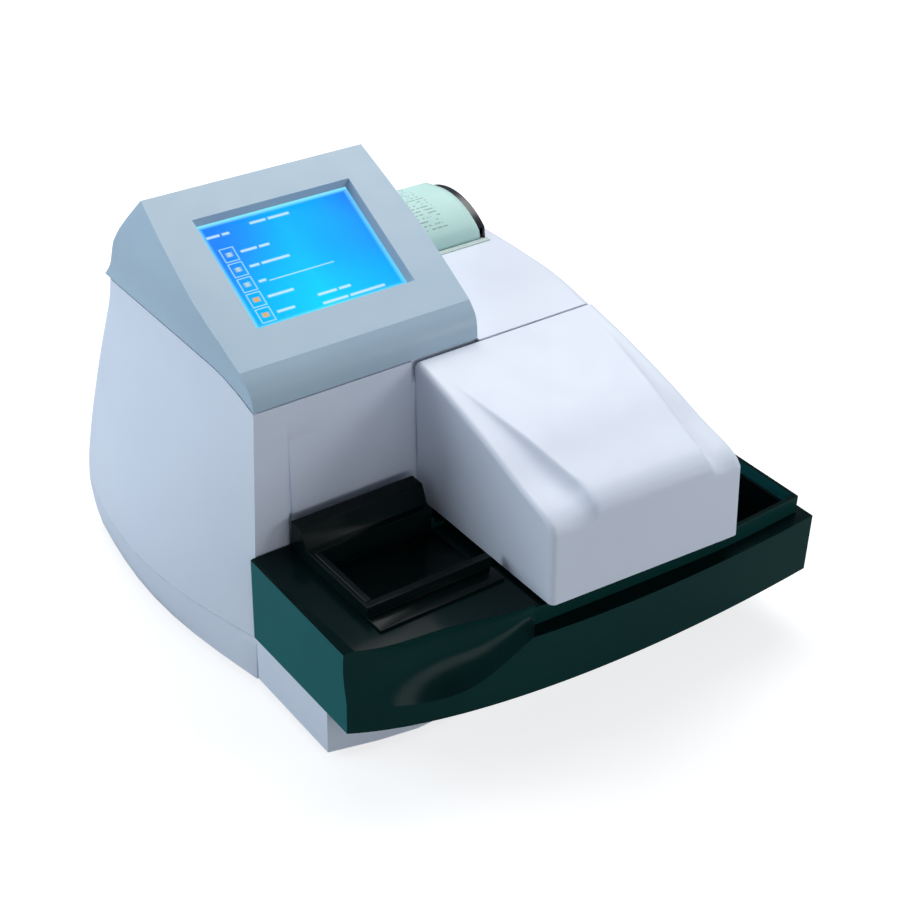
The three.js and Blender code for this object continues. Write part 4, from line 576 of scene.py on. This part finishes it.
def body_row(height):
    """One level of the body's outline, from its front left corner round by the right, and closed."""
    low_z = mix(BODY_LOW, BODY_TOP, height)

    def lifted(x, y):
        top = straight(SEAM, y) if x < DECK_LEFT - 1 else DECK_LOW - 0.6
        return low_z if low_z < FLAT_TOP else mix(FLAT_TOP, top, (low_z - FLAT_TOP) / (BODY_TOP - FLAT_TOP))

    def shaped(x, y):
        z = lifted(x, y)
        bulge, deeper = eased(BODY_LEVELS, (z - BODY_LOW) / (BODY_TOP - BODY_LOW))
        depth = mix(TOP_DEPTH, LOW_DEPTH, deeper)
        return z, bulge, depth

    def left_at(y, z, bulge, depth):
        share = y / depth
        return left_corner(z) - bulge * (20 * math.sin(math.pi * share) + 6 * share)

    def right_at(y, z, depth):
        return right_corner(z) + 5 * math.sin(math.pi * y / depth)

    row = []
    stops = [
        0.0, 23.8, 24.2, *GROOVE, 60, 100, 121.3, 121.7, 128.3, 128.7, 150,
        175.7, 176.0, 176.3, 200, 240, 276.0,
    ]
    for x in stops:
        z = lifted(x, 0)
        sunk = clamped((RECESS_TOP - z) / RECESS_RUN)
        recess = RECESS_DEPTH * sunk if RECESS_LEFT < x < RECESS_RIGHT and z >= RECESS_LOW else 0.0
        if RECESS_LEFT < x <= GROOVE[0] and z >= RECESS_LOW:
            recess += GROOVE_DEPTH * clamped((RECESS_TOP - z) / GROOVE_RUN)
        level = lifted(175.7, 0) if x == 176.0 else z
        relief = HEEL_ROOM if x > HEEL_LEFT and level > HEEL_LOW else 0.0
        if x == stops[0]:
            x = left_corner(z)
        elif x == stops[-1]:
            x = right_corner(z)
        elif x in GROOVE:
            x += (x - 22) * sunk
        row.append((x, max(recess, relief), z))
    sides = [0.06, 0.12, 0.2, 0.28, 0.36, 0.44, 0.52, 0.6, 0.68, 0.76, 0.84, 0.92]
    turns = [i / 8 * math.pi / 2 for i in range(9)]
    z, bulge, depth = shaped(270, 0)
    for share in sides:
        y = mix(0, depth - CORNER, share)
        row.append((right_at(y, z, depth), y, z))
    for turn in turns:
        x = right_at(depth - CORNER, z, depth) - CORNER * (1 - math.cos(turn))
        row.append((x, depth - CORNER * (1 - math.sin(turn)), z))
    for x in (250, 232, 216, 196, 176.3, 175.7, 160, 128, 96, 64, 40, 20):
        z, bulge, depth = shaped(x, 206)
        row.append((x, depth, z))
    z, bulge, depth = shaped(0, 206)
    for turn in reversed(turns):
        x = left_at(depth - CORNER, z, bulge, depth) + CORNER * (1 - math.cos(turn))
        row.append((x, depth - CORNER * (1 - math.sin(turn)), z))
    for share in reversed(sides):
        z, bulge, depth = shaped(0, mix(0, TOP_DEPTH, share))
        y = mix(0, depth - CORNER, share)
        row.append((left_at(y, z, bulge, depth), y, z))
    row.append(row[0])
    return row


def build_body():
    """The housing, with the recess that the rear panel sits in."""
    heights = [(z - BODY_LOW) / (BODY_TOP - BODY_LOW) for z in spaced(
        39.3, (45, 2), (59, 4), (92, 8), (126, 8), (131, 1), (150, 4), (200, 12), (223, 6), (226.5, 2),
    )]
    bm = welded(quilt([body_row(h) for h in heights]))
    (left, low), (right, high) = PANEL_RECESS
    pocket = faces_within(bm, (left, 215, low), (right, 260, high))
    grown = bmesh.ops.extrude_face_region(bm, geom=pocket)
    for v in grown["geom"]:
        if isinstance(v, bmesh.types.BMVert):
            v.co.y = (PANEL_SEAT + SHIFT.y) / 1000
    bmesh.ops.delete(bm, geom=[f for f in pocket if f.is_valid], context="FACES")
    (open_left, open_low), (open_right, open_high) = PANEL_OPENING
    front, back = PANEL_SEAT - 0.1, PANEL_SEAT + 0.1
    cuts = [((x, 0, 0), (1, 0, 0)) for x in (open_left, open_right)]
    cuts += [((0, 0, z), (0, 0, 1)) for z in (open_low, open_high)]
    for place, normal in cuts:
        seat = faces_within(bm, (left, front, low), (right, back, high))
        edges = [e for e in bm.edges if any(f in seat for f in e.link_faces)]
        corners = [v for v in bm.verts if any(f in seat for f in v.link_faces)]
        split(bm, place, normal, [*corners, *edges, *seat])
    behind_panel = faces_within(bm, (open_left, front, open_low), (open_right, back, open_high))
    bmesh.ops.delete(bm, geom=behind_panel, context="FACES")
    bmesh.ops.recalc_face_normals(bm, faces=bm.faces)
    made = piece("housing_body", bm, "housing", housing, ("body_shell",), 30, 0.35, 3)
    return walled(made, 3)


# Display head: its outline in the y-z plane, swollen sideways half way up
HEAD_WIDTH = 175.4
HEAD_MIDDLE = HEAD_WIDTH / 2
FOLD, HEAD_TOP = (13.5, 241.0), (140.0, 309.0)
FACE_SLOPE = math.atan2(HEAD_TOP[1] - FOLD[1], HEAD_TOP[0] - FOLD[0])
# The display's window by its low and high corners: across the head, and along the face from the fold
WINDOW = ((27.0, 26.72), (149.0, 118.72))
WINDOW_DRAFT, WINDOW_DEPTH = 2.4, 5.5


def head_edge(left, y, z):
    """Where the head's side stands. The left one meets the body's side flush, along the seam."""
    share = clamped((z - 217) / 92)
    swell = 3.5 * math.sin(math.pi * share) - 1.75 * share**4
    if not left:
        return HEAD_WIDTH + swell
    above = clamped((z - straight(SEAM, y) - HEAD_GAP) / 45)
    return 1.0 - (1 + swell) * above * above * (3 - 2 * above)


def face_place(x, along):
    """A place on the sloped face: across, and along from the fold."""
    return x, FOLD[0] + along * math.cos(FACE_SLOPE), FOLD[1] + along * math.sin(FACE_SLOPE)


def build_head():
    """The display head: its outline pushed across, swollen at both sides, with the window sunk in."""
    seam = [(y, z + HEAD_GAP) for y, z in SEAM[:5]]
    back_rows = [(0, 206.0, 226.5 + HEAD_GAP), (0.36, 192.8, 242.2), (0.7, 171.7, 273.9), (1, 140.0, 309.0)]
    lip_rows = [(0, 0.0, 217 + HEAD_GAP), (0.3, 1.3, 224.6), (0.68, 5.3, 233.5), (1, 13.5, 241.0)]
    outline = seam + [tuple(eased(back_rows, i / 8)) for i in range(1, 8)] + [HEAD_TOP, FOLD]
    outline += [tuple(eased(lip_rows, s)) for s in (0.86, 0.72, 0.58, 0.44, 0.3, 0.15)]
    bm = bmesh.new()
    rim = [bm.verts.new(TO_FRAME @ Vector((0, y, z))) for y, z in outline]
    side = bm.faces.new(rim)
    grown = bmesh.ops.extrude_face_region(bm, geom=[side])
    for g in grown["geom"]:
        if isinstance(g, bmesh.types.BMVert):
            g.co.x += HEAD_WIDTH / 1000
    along = Vector((0, math.cos(FACE_SLOPE), math.sin(FACE_SLOPE)))
    for x in (WINDOW[0][0], WINDOW[1][0]):
        split(bm, (x, 0, 0), (1, 0, 0))
    for place in (WINDOW[0][1], WINDOW[1][1]):
        split(bm, face_place(0, place), along)
    for z in spaced(222, (305, 16)):
        split(bm, (0, 0, z), (0, 0, 1))
    for v in bm.verts:
        x, y, z = drawn(v.co)
        if x < 1 or x > HEAD_WIDTH - 1:
            v.co.x = (head_edge(x < HEAD_MIDDLE, y, z) + SHIFT.x) / 1000
    under = [f for f in bm.faces if f.normal.z < -0.7 or all(
        abs(drawn(v.co).z - straight(SEAM, drawn(v.co).y) - HEAD_GAP) < 0.05 for v in f.verts
    )]
    bmesh.ops.delete(bm, geom=under, context="FACES")
    bmesh.ops.recalc_face_normals(bm, faces=bm.faces)
    normal = Vector((0, -math.sin(FACE_SLOPE), math.cos(FACE_SLOPE)))
    window = []
    for face in bm.faces:
        place = drawn(face.calc_center_median())
        run = (place.y - FOLD[0]) * math.cos(FACE_SLOPE) + (place.z - FOLD[1]) * math.sin(FACE_SLOPE)
        inside = WINDOW[0][0] < place.x < WINDOW[1][0] and WINDOW[0][1] < run < WINDOW[1][1]
        if inside and face.normal.dot(normal) > 0.99:
            window.append(face)
    grown = bmesh.ops.extrude_face_region(bm, geom=window)
    sunk = [g for g in grown["geom"] if isinstance(g, bmesh.types.BMFace)]
    bmesh.ops.delete(bm, geom=[f for f in window if f.is_valid], context="FACES")
    centre = TO_FRAME @ Vector(face_place(*((a + b) / 2 for a, b in zip(*WINDOW))))
    draft = WINDOW_DRAFT / 1000
    for v in {v for f in sunk for v in f.verts}:
        v.co.x += math.copysign(draft, centre.x - v.co.x)
        v.co += along * math.copysign(draft, (centre - v.co).dot(along)) - normal * WINDOW_DEPTH / 1000
    bmesh.ops.delete(bm, geom=[f for f in sunk if f.is_valid], context="FACES")
    made = piece("display_head", bm, "housing", head_plastic, ("head_shell",), 30, 0.35, 3)
    for edge in made.data.edges:
        ends = [drawn(made.data.vertices[k].co) for k in edge.vertices]
        if all(abs(end.y - FOLD[0]) < 0.05 and abs(end.z - FOLD[1]) < 0.05 for end in ends):
            edge.use_edge_sharp = True
    return walled(made, 2.6)


def build_head_lip():
    """The lip under the head's right side that closes the step down to the deck."""
    inner, low, high = HEAD_WIDTH - 3, 206.6, 222
    section = ((inner, high), (inner, low), (HEAD_WIDTH, low), (HEAD_WIDTH, high))
    rows = [[(x, y, z) for x, z in section] for y in spaced(6.6, (194, 12))]
    bm = quilt(rows)
    bmesh.ops.holes_fill(bm, edges=bm.edges, sides=4)
    bmesh.ops.recalc_face_normals(bm, faces=bm.faces)
    return piece("head_side_lip", bm, "housing", head_plastic, (), 30, 0.4, 2)


# Rear deck: the share along it, the share of its rise above the cover's top
DECK_RISE = [
    (0, 0), (0.08, 0.45), (0.16, 0.8), (0.21, 0.93), (0.26, 1), (0.38, 1), (0.62, 1), (0.84, 1), (0.93, 1),
    (0.955, 0.84), (0.975, 0.6), (0.99, 0.2), (1, -0.4),
]
DECK_FRONT, DECK_BACK, DECK_SWELL = 0.2, 206.7, 5.4
# The printer's bay by its low and high corners, seen from above, and the height of its rim
BAY, BAY_RIM = ((200.4, 108.0), (267.6, 201.8)), 2.6
COVER_TOP, COVER_LOW = 216.6, 106.0
# The deck's front is set back below a thin lip, so the cover's heel can swing
DECK_LIP, DECK_SETBACK = 1.2, 3.0


def build_deck():
    """The deck behind the cover: a domed sheet with the bay cut out and its front set back."""
    rows = []
    for place in spaced(DECK_FRONT, (54, 14), (108, 4), (201.8, 8), (203.6, 3), (205.7, 4), (DECK_BACK, 3)):
        share = (place - DECK_FRONT) / (DECK_BACK - DECK_FRONT)
        y = mix(DECK_FRONT, DECK_BACK, share)
        top = COVER_TOP + DECK_SWELL * eased(DECK_RISE, share)[0]
        right = right_corner(DECK_LOW) + 5 * math.sin(math.pi * y / TOP_DEPTH)
        radius = min(8.0, top - DECK_LOW)
        row = [(DECK_LEFT, y, DECK_LOW), (DECK_LEFT, y, mix(DECK_LOW, top, 0.5)), (DECK_LEFT, y, top)]
        row += [(x, y, top) for x in (BAY[0][0], 222, 245, BAY[1][0])]
        turns = [i / 10 * math.pi / 2 for i in range(11)]
        row += [(right - radius * (1 - math.sin(a)), y, top - radius * (1 - math.cos(a))) for a in turns]
        row.append((right, y, DECK_LOW))
        rows.append(row)
    bm = welded(quilt(rows))
    bay = faces_within(bm, (BAY[0][0], BAY[0][1], 215), (BAY[1][0], BAY[1][1], 230))
    bmesh.ops.delete(bm, geom=bay, context="FACES")
    rim = [e for e in bm.edges if e.is_boundary and all(
        drawn(v.co).z > 215 and BAY[0][1] - 0.1 < drawn(v.co).y < BAY[1][1] + 0.1 for v in e.verts
    )]
    for v in bmesh.ops.extrude_edge_only(bm, edges=rim)["geom"]:
        if isinstance(v, bmesh.types.BMVert):
            v.co.z -= BAY_RIM / 1000
    for y in (DECK_FRONT, DECK_BACK):
        bmesh.ops.contextual_create(bm, geom=[
            e for e in bm.edges if e.is_boundary and all(abs(drawn(v.co).y - y) < 0.01 for v in e.verts)
        ])
    bmesh.ops.recalc_face_normals(bm, faces=bm.faces)
    corner = Vector((0, DECK_SETBACK, COVER_TOP - DECK_LIP))
    for normal in ((0, 1, 0), (0, 0, 1)):
        split(bm, corner, normal)
    below = faces_within(bm, (170, DECK_FRONT - 1, DECK_LOW - 1), (300, corner.y, corner.z))
    bmesh.ops.delete(bm, geom=below, context="FACES")

    def level_with(v, axis):
        return abs(drawn(v.co)[axis] - corner[axis]) < 0.01

    def rim_at(axis):
        return [e for e in bm.edges if e.is_boundary and all(
            level_with(v, axis) and drawn(v.co)[3 - axis] < corner[3 - axis] + 0.01 for v in e.verts
        )]

    ends = [v for v in bm.verts if level_with(v, 1) and level_with(v, 2)]
    fold = bm.edges.new((min(ends, key=lambda v: v.co.x), max(ends, key=lambda v: v.co.x)))
    upright, under = rim_at(1), rim_at(2)
    bmesh.ops.contextual_create(bm, geom=[*upright, fold])
    bmesh.ops.contextual_create(bm, geom=[*under, fold])
    bmesh.ops.recalc_face_normals(bm, faces=bm.faces)
    made = piece("rear_deck", bm, "housing", housing, ("top_deck",), 30, 0.3, 3)
    return walled(made, 1)


# Hinged cover: the share along it from the hinge to the nose, the share of its fall
COVER_FALL = [
    (0, 0.0), (0.012, 0.003), (0.13, 0.09), (0.36, 0.255), (0.58, 0.43), (0.76, 0.62),
    (0.88, 0.73), (0.93, 0.785), (0.97, 0.86), (0.99, 0.93), (1, 1),
]
COVER_DROP = 49.6
# The heel is eased down, so it clears the deck as the cover swings up
COVER_HEEL = ((0, 0.024), (0.012, 0.003))
COVER_LEFT, COVER_RIGHT = 124.0, 276.0
COVER_REAR, COVER_NOSE = 0.4, 154.0
HINGE = (-4.2, 210.2)


def cover_side(side, z):
    """Where the cover's left (-1) or right (1) side stands at a height."""
    share = (COVER_TOP - z) / (COVER_TOP - COVER_LOW)
    return COVER_LEFT + 4.5 * share if side < 0 else COVER_RIGHT + 8 * share


def cover_place(along, across, down=0.0):
    """A place on the cover's skin. down runs from 0 at the nose's end to 1 at the bottom of the front."""
    fall = straight(COVER_HEEL, along) if along < COVER_HEEL[1][0] else eased(COVER_FALL, along)[0]
    top = COVER_TOP - COVER_DROP * fall
    rise = clamped((along - 0.12) / 0.72)
    strength = rise * rise * (3 - 2 * rise)
    z = mix(top, COVER_LOW, down)
    left, right = cover_side(-1, z), cover_side(1, z)
    x = mix(left, right, across)
    distance = min(x - left, right - x)
    if x - left < right - x:
        width, depth = 35 * min(1.0, along + 0.12), 1.0
    else:
        width, depth = 26 * min(1.0, 0.8 * along + 0.25), 0.8
    share = clamped(distance / width)
    hollow = depth * strength * (5 + 2.2 * math.sin(math.pi * share)) * (1 - share**11)
    z -= hollow * (1 - down)
    before, after = max(0, along - 0.004), min(1, along + 0.004)
    slope = COVER_DROP * (eased(COVER_FALL, after)[0] - eased(COVER_FALL, before)[0])
    run = (COVER_NOSE - COVER_REAR) * (after - before)
    lean = math.atan2(slope, run) if along < 0.999 and down == 0 else math.pi / 2
    rounding = 4.0
    short = max(0.0, rounding - distance)
    sink = rounding - math.sqrt(max(0.0, rounding**2 - short**2))
    skew = 4.5 * mix(1, -1, (x - COVER_LEFT) / (COVER_RIGHT - COVER_LEFT))
    y = -mix(COVER_REAR, COVER_NOSE, along) + skew * along**2
    return x, y + sink * math.sin(lean), z - sink * math.cos(lean)


def build_cover():
    """The hinged cover: its top and nose as one sheet, and two walls."""
    near_side = [e / 156 for e in (0, 0.4, 1.2, 2.4, 4, *range(6, 36), 37, 40, 44)]
    acrosses = [*near_side, 0.36, 0.43, 0.5, 0.57, 0.64, *(1 - s for s in reversed(near_side))]
    alongs = spaced(0, (0.012, 1), (0.13, 4), (0.88, 26), (0.93, 4), (1, 12))
    downs = spaced(0.04, (0.2, 3), (1, 8))
    rows = [[cover_place(a, s) for s in acrosses] for a in alongs]
    rows += [[cover_place(1.0, s, d) for s in acrosses] for d in downs]
    bm = quilt(rows)
    for across in (0, 1):
        wall = []
        for a in alongs:
            top = Vector(cover_place(a, across))
            levels = [0.0, *downs] if a == alongs[-1] else spaced(0, 0.04, (0.2, 3), (1, 8))
            column = []
            for d in levels:
                z = mix(top.z, COVER_LOW, d)
                x = cover_side(-1 if across == 0 else 1, z)
                y = cover_place(1.0, across, d)[1] if a == alongs[-1] else top.y
                column.append(tuple(top) if d == 0 else (x, y, z))
            wall.append(column)
        if across == 0:
            wall.reverse()
        quilt(wall, bm)
    welded(bm)
    made = piece("scanner_cover", bm, "cover", housing, ("cover",), 40, 0.5, 2)
    return walled(made, 2.5)


def build_hinge_eyes():
    """The hinge eyes that hang from the cover's underside, a pair round each bracket."""
    bm = bmesh.new()
    eye, half_bracket, play = 6.0, 2.5, 0.3
    for middle in (142.0, 258.0):
        for left in (middle - half_bracket - play - eye, middle + half_bracket + play):
            turn = Matrix.Rotation(math.pi / 2, 4, "Y")
            place = TO_FRAME @ Matrix.Translation((left + eye / 2, *HINGE)) @ turn
            bmesh.ops.create_cone(
                bm, cap_ends=True, segments=32, radius1=3.0, radius2=3.0, depth=eye, matrix=place
            )
            neck = Matrix.Translation((left + eye / 2, -5.7, 212.6)) @ Matrix.Diagonal((eye, 3, 4.8, 1))
            bmesh.ops.create_cube(bm, size=1.0, matrix=TO_FRAME @ neck)
    return piece("cover_hinge_eyes", bm, "cover", housing, (), 35, 0.3, 2)


# Tray
TRAY_RIGHT, TRAY_TOP, LEDGE, RIM, TRAY_LOW, TRAY_FLOOR = 362.0, 108.0, 89.0, 103.0, 42.0, 45.0
DIVIDER = (121.0, 131.0)
FRONT_PULL = ((-7.0, -117.0), (59.42, -154.995), (199.64, -168.0), (362.0, -156.0))
# Share along the scoop, share of its drop below the tray's top, share of its depth behind the front
SCOOP = [
    (-0.05, 0.8, 0.1), (0, 0.84, 0.13), (0.13, 0.92, 0.18), (0.25, 0.98, 0.34), (0.36, 1, 0.52),
    (0.48, 0.99, 0.66), (0.58, 0.92, 0.66), (0.67, 0.79, 0.58), (0.76, 0.62, 0.52), (0.82, 0.5, 0.5),
    (0.88, 0.39, 0.52), (0.96, 0.385, 0.6),
]
SCOOP_WIDTH, SCOOP_DROP, SCOOP_REACH = 137.0, 49.0, 16.0


def front_curve(steps):
    """The tray's bowed front, seen from above, as places along it."""
    places = []
    for i in range(steps + 1):
        t = i / steps
        weights = ((1 - t) ** 3, 3 * t * (1 - t) ** 2, 3 * t * t * (1 - t), t**3)
        places.append(tuple(sum(w * p[k] for w, p in zip(weights, FRONT_PULL)) for k in (0, 1)))
    return places


def build_tray():
    """The tray: joined blocks, less the scoop, two wells, a hollow beside the left one, and a passage."""
    curve = front_curve(96)

    def rim_outline(inset):
        left, rear = (DIVIDER[1], -6.0) if inset else (DIVIDER[0], -1.0)
        right = TRAY_RIGHT - 7 - inset
        front = [(left, -142), (204.92, -146.34), (281.08, -149.0), (right, -146)]
        rows = [(x, y + inset) for x, y in front]
        smooth = [(x, eased(rows, x)[0]) for x in spaced(left, (right, 40))]
        return [(left, rear), *smooth, (right, rear)]

    rows = []
    for along in spaced(-0.05, (0.96, 60)):
        drop, reach = eased(SCOOP, along)
        x = TRAY_LEFT + SCOOP_WIDTH * along
        face = straight(curve, x) if x > TRAY_LEFT else FRONT_PULL[0][1]
        low, inner = TRAY_TOP - SCOOP_DROP * drop, face + SCOOP_REACH * reach
        deep = 2 + 6 * math.sin(math.pi * clamped(along / 0.9))
        shares = [i / 24 for i in range(25)]
        outs = [deep * math.sin(math.pi * s**0.8) - (inner - face) * s**2.2 for s in shares]
        bowl = [(inner + out, mix(TRAY_TOP, low, s)) for s, out in zip(shares, outs)]
        ring = [(face - 24, low), (face - 24, TRAY_TOP + 6), (inner, TRAY_TOP + 6), *bowl]
        rows.append([(x, y, z) for y, z in ring])
    left_slope = [
        [(x, y, z) for x, z in (
            (-13, 114), (-13, 108 - 4 * s), (-7, 108 - 4 * s), (-7 + 6 * s, 108), (-7 + 6 * s, 114)
        )]
        for y, s in ((-123, 1), (5, 0.15))
    ]
    step = [(114, straight(curve, 114)), (DIVIDER[0], -142)]
    left = [(TRAY_LEFT, TRAY_REAR), *(p for p in curve if p[0] < 114), *step, (DIVIDER[0], TRAY_REAR)]
    bm = carved(
        prism([(TRAY_LEFT, TRAY_REAR), *curve, (TRAY_RIGHT, TRAY_REAR)], TRAY_LOW, LEDGE, "z"),
        ("join", prism(rim_outline(0), 86, RIM, "z")),
        ("join", prism(left, 86, TRAY_TOP, "z")),
        ("cut", lofted(rows)),
        ("cut", prism(rim_outline(3), TRAY_FLOOR, RIM + 6, "z")),
        ("cut", prism([(21.3, -113), (119, -113), (119, -6), (21.3, -6)], TRAY_FLOOR, TRAY_TOP + 6, "z")),
        ("cut", prism([(-4, -113), (27.3, -113), (27.3, -6), (-4, -6)], TRAY_FLOOR, 101, "z")),
        ("cut", prism([(116, -92.3), (134, -92.3), (134, -29.7), (116, -29.7)], 99.5, TRAY_TOP + 6, "z")),
        ("cut", lofted(left_slope)),
    )
    look = finishes["tray_plastic"]
    return piece("pull_out_tray", bm, "tray", look, ("strip_tray",), 28, 0.7, 3, sharp=34)


# Printer lid and paper, on arcs round the same line
LID_MIDDLE, LID_PIVOT = (155.0, 185.0), (198.0, 219.0)
PLATEN, PLATEN_RADIUS = (118.2, 217.5), 5.0
LID_RADIUS, LID_WALL, LID_LEFT, LID_RIGHT = 60.0, 2.5, 201.0, 267.0


def build_lid():
    """The printer's lid: a curved shell with two cheeks, bored for the platen's shaft and the lid's pin."""
    outer = arc(*LID_MIDDLE, LID_RADIUS, 131, 47, 48)
    pivot = arc(*LID_PIVOT, 3, 80, -90, 12)
    inner = arc(*LID_MIDDLE, LID_RADIUS - LID_WALL, 48.5, 129.5, 48)
    shell = prism([*outer, *pivot, (192, 220.5), *inner], LID_LEFT, LID_RIGHT, "x")
    front = PLATEN[0] - PLATEN_RADIUS + 1.2
    cheek = [*outer, *pivot, (128.2, 219), (123.2, 212.5), (front, 212.5), (front, 222.5)]
    steps = []
    for x in (LID_LEFT, LID_RIGHT - 2):
        steps.append(("join", prism(cheek, x, x + 2, "x")))
    for (y, z), radius in ((PLATEN, 2.3), (LID_PIVOT, 1.6)):
        steps.append(("cut", prism(arc(y, z, radius, 0, 345, 23), 195, 273, "x")))
    bm = carved(shell, *steps)
    look = moulded("smoke_grey_lid_abs", srgb(34, 34, 44), srgb(28, 29, 38), 0.26, 0.00002, 900.0)
    return piece("printer_roll_lid", bm, "lid", look, ("printer_lid",), 30, 0.5, 3)


def build_paper():
    """The printed strip: up out of the slot, over the lid, and off it to the rear."""
    lie = arc(*LID_MIDDLE, LID_RADIUS + 0.4, 128, 80, 40)
    end_y, end_z = lie[-1]
    path = [(113.2, 214.5), (113.2, 225.2), (114.0, 229.0), *lie]
    for share in (0.2, 0.4, 0.6, 0.8, 1.0):
        path.append((end_y + 18 * share * math.cos(math.radians(10)), end_z - 2.6 * share - 0.4 * share**2))
    rows = [[(x, y, z) for x in spaced(204.0, (261.0, 14))] for y, z in path]
    bm = quilt(rows)
    bmesh.ops.recalc_face_normals(bm, faces=bm.faces)
    made = piece("printed_strip", bm, "lid", printed_paper(), ("paper_strip",), 50)
    wall = made.modifiers.new("Thickness", "SOLIDIFY")
    wall.thickness = 0.0002
    wall.offset = 0.0
    return made


build_body()
build_head()
build_head_lip()
build_deck()
build_cover()
build_hinge_eyes()
build_tray()
build_lid()
build_paper()
REBUILT = {"body_shell", "head_shell", "top_deck", "cover", "strip_tray", "printer_lid", "paper_strip"}
LOOKS = {
    "lcd_module": lit_screen(),
    "touch_panel": clear("anti_glare_panel", srgb(240, 250, 255), 0.1, 1.04, 1.0),
}
for node in nodes:
    if node not in REBUILT:
        dress(node, LOOKS.get(node))


# Camera, light and floor


def photo_camera():
    """The photo's camera: turned from the front, tipped down and rolled, in degrees."""
    yaw, pitch, roll = (math.radians(a) for a in (36.512, 33.231, 1.534))
    ahead = Vector((math.sin(yaw) * math.cos(pitch), math.cos(yaw) * math.cos(pitch), -math.sin(pitch)))
    right = Vector((math.cos(yaw), -math.sin(yaw), 0.0))
    up = right.cross(ahead)
    right, up = (
        math.cos(roll) * right + math.sin(roll) * up,
        math.cos(roll) * up - math.sin(roll) * right,
    )
    lens = bpy.data.cameras.new("photo_camera")
    lens.lens = 69.18
    lens.sensor_width = 36.0
    lens.clip_end = 50.0
    camera = bpy.data.objects.new("photo_camera", lens)
    bpy.context.scene.collection.objects.link(camera)
    turned = Matrix((right, up, -ahead)).transposed().to_4x4()
    camera.matrix_world = Matrix.Translation(TO_FRAME @ Vector((-445.83, -811.59, 796.5))) @ turned
    bpy.context.scene.camera = camera


def softbox(name, place, target, size, power, colour=(1.0, 1.0, 1.0)):
    """A rectangular lamp, in metres and watts, that faces its target."""
    lamp = bpy.data.lights.new(name, "AREA")
    lamp.shape = "RECTANGLE"
    lamp.size, lamp.size_y = size
    lamp.energy = power
    lamp.color = colour
    made = bpy.data.objects.new(name, lamp)
    bpy.context.scene.collection.objects.link(made)
    made.location = place
    made.rotation_euler = (Vector(target) - Vector(place)).to_track_quat("-Z", "Y").to_euler()


def studio():
    """A dim blue fill, seen as white by the camera and through glass, and four softboxes."""
    world = bpy.data.worlds.new("studio")
    bpy.context.scene.world = world
    world.use_nodes = True
    tree = world.node_tree
    fill = tree.nodes["Background"]
    fill.inputs["Color"].default_value = (0.78, 0.87, 1.0, 1.0)
    fill.inputs["Strength"].default_value = 0.2
    seen = tree.nodes.new("ShaderNodeBackground")
    seen.inputs["Color"].default_value = (1.0, 1.0, 1.0, 1.0)
    rays = tree.nodes.new("ShaderNodeLightPath")
    shader = tree.nodes.new("ShaderNodeMixShader")
    either = tree.nodes.new("ShaderNodeMath")
    either.operation = "MAXIMUM"
    tree.links.new(rays.outputs["Is Camera Ray"], either.inputs[0])
    tree.links.new(rays.outputs["Is Transmission Ray"], either.inputs[1])
    tree.links.new(either.outputs[0], shader.inputs[0])
    tree.links.new(fill.outputs[0], shader.inputs[1])
    tree.links.new(seen.outputs[0], shader.inputs[2])
    tree.links.new(shader.outputs[0], tree.nodes["World Output"].inputs["Surface"])
    softbox("key_left", (-1.6, 1.05, 0.8), (0, 0, 0.12), (1.5, 1.2), 25.5, (0.8, 0.915, 1.0))
    softbox("overhead", (0.6, 0.75, 1.8), (0, 0, 0.1), (1.8, 1.2), 33.0, (1.0, 0.985, 0.97))
    softbox("front_fill", (1.4, -1.6, 0.75), (0, 0, 0.12), (1.2, 0.6), 9.5, (0.95, 0.98, 1.0))
    softbox("front_strip", (-0.2, -1.75, 0.5), (0, 0, 0.12), (1.3, 0.34), 4.4, (0.95, 0.98, 1.0))


def floor():
    """A pale floor that keeps the shadow and fades to white with distance."""
    bm = bmesh.new()
    half_side, drop = 6.0, 0.0005
    bmesh.ops.create_grid(bm, x_segments=1, y_segments=1, size=half_side)
    mesh = bpy.data.meshes.new("floor")
    bm.to_mesh(mesh)
    bm.free()
    s = Shader("pale_floor")
    rays = s.add("ShaderNodeLightPath").outputs
    seen = s.math("MAXIMUM", rays["Is Camera Ray"], rays["Is Transmission Ray"])
    grain = s.mix(s.noise(60.0, 3.0), (0.34, 0.34, 0.35, 1.0), (0.38, 0.38, 0.39, 1.0))
    s.set(Base_Color=s.mix(seen, grain, (0.44, 0.44, 0.45, 1.0)), Roughness=0.9, Specular_IOR_Level=0.1)
    away = s.add("ShaderNodeVectorMath", operation="LENGTH")
    s.link(s.place, away.inputs[0])
    glow = s.spread(away.outputs["Value"], 0.8, 2.4, 0.74, 1.0)
    s.set(Emission_Color=(1.0, 1.0, 1.0, 1.0), Emission_Strength=s.math("MULTIPLY", seen, glow))
    mesh.materials.append(s.material)
    made = bpy.data.objects.new("floor", mesh)
    bpy.context.scene.collection.objects.link(made)
    made.location.z = -drop


photo_camera()
studio()
floor()
bpy.context.scene.view_settings.view_transform = "Standard"
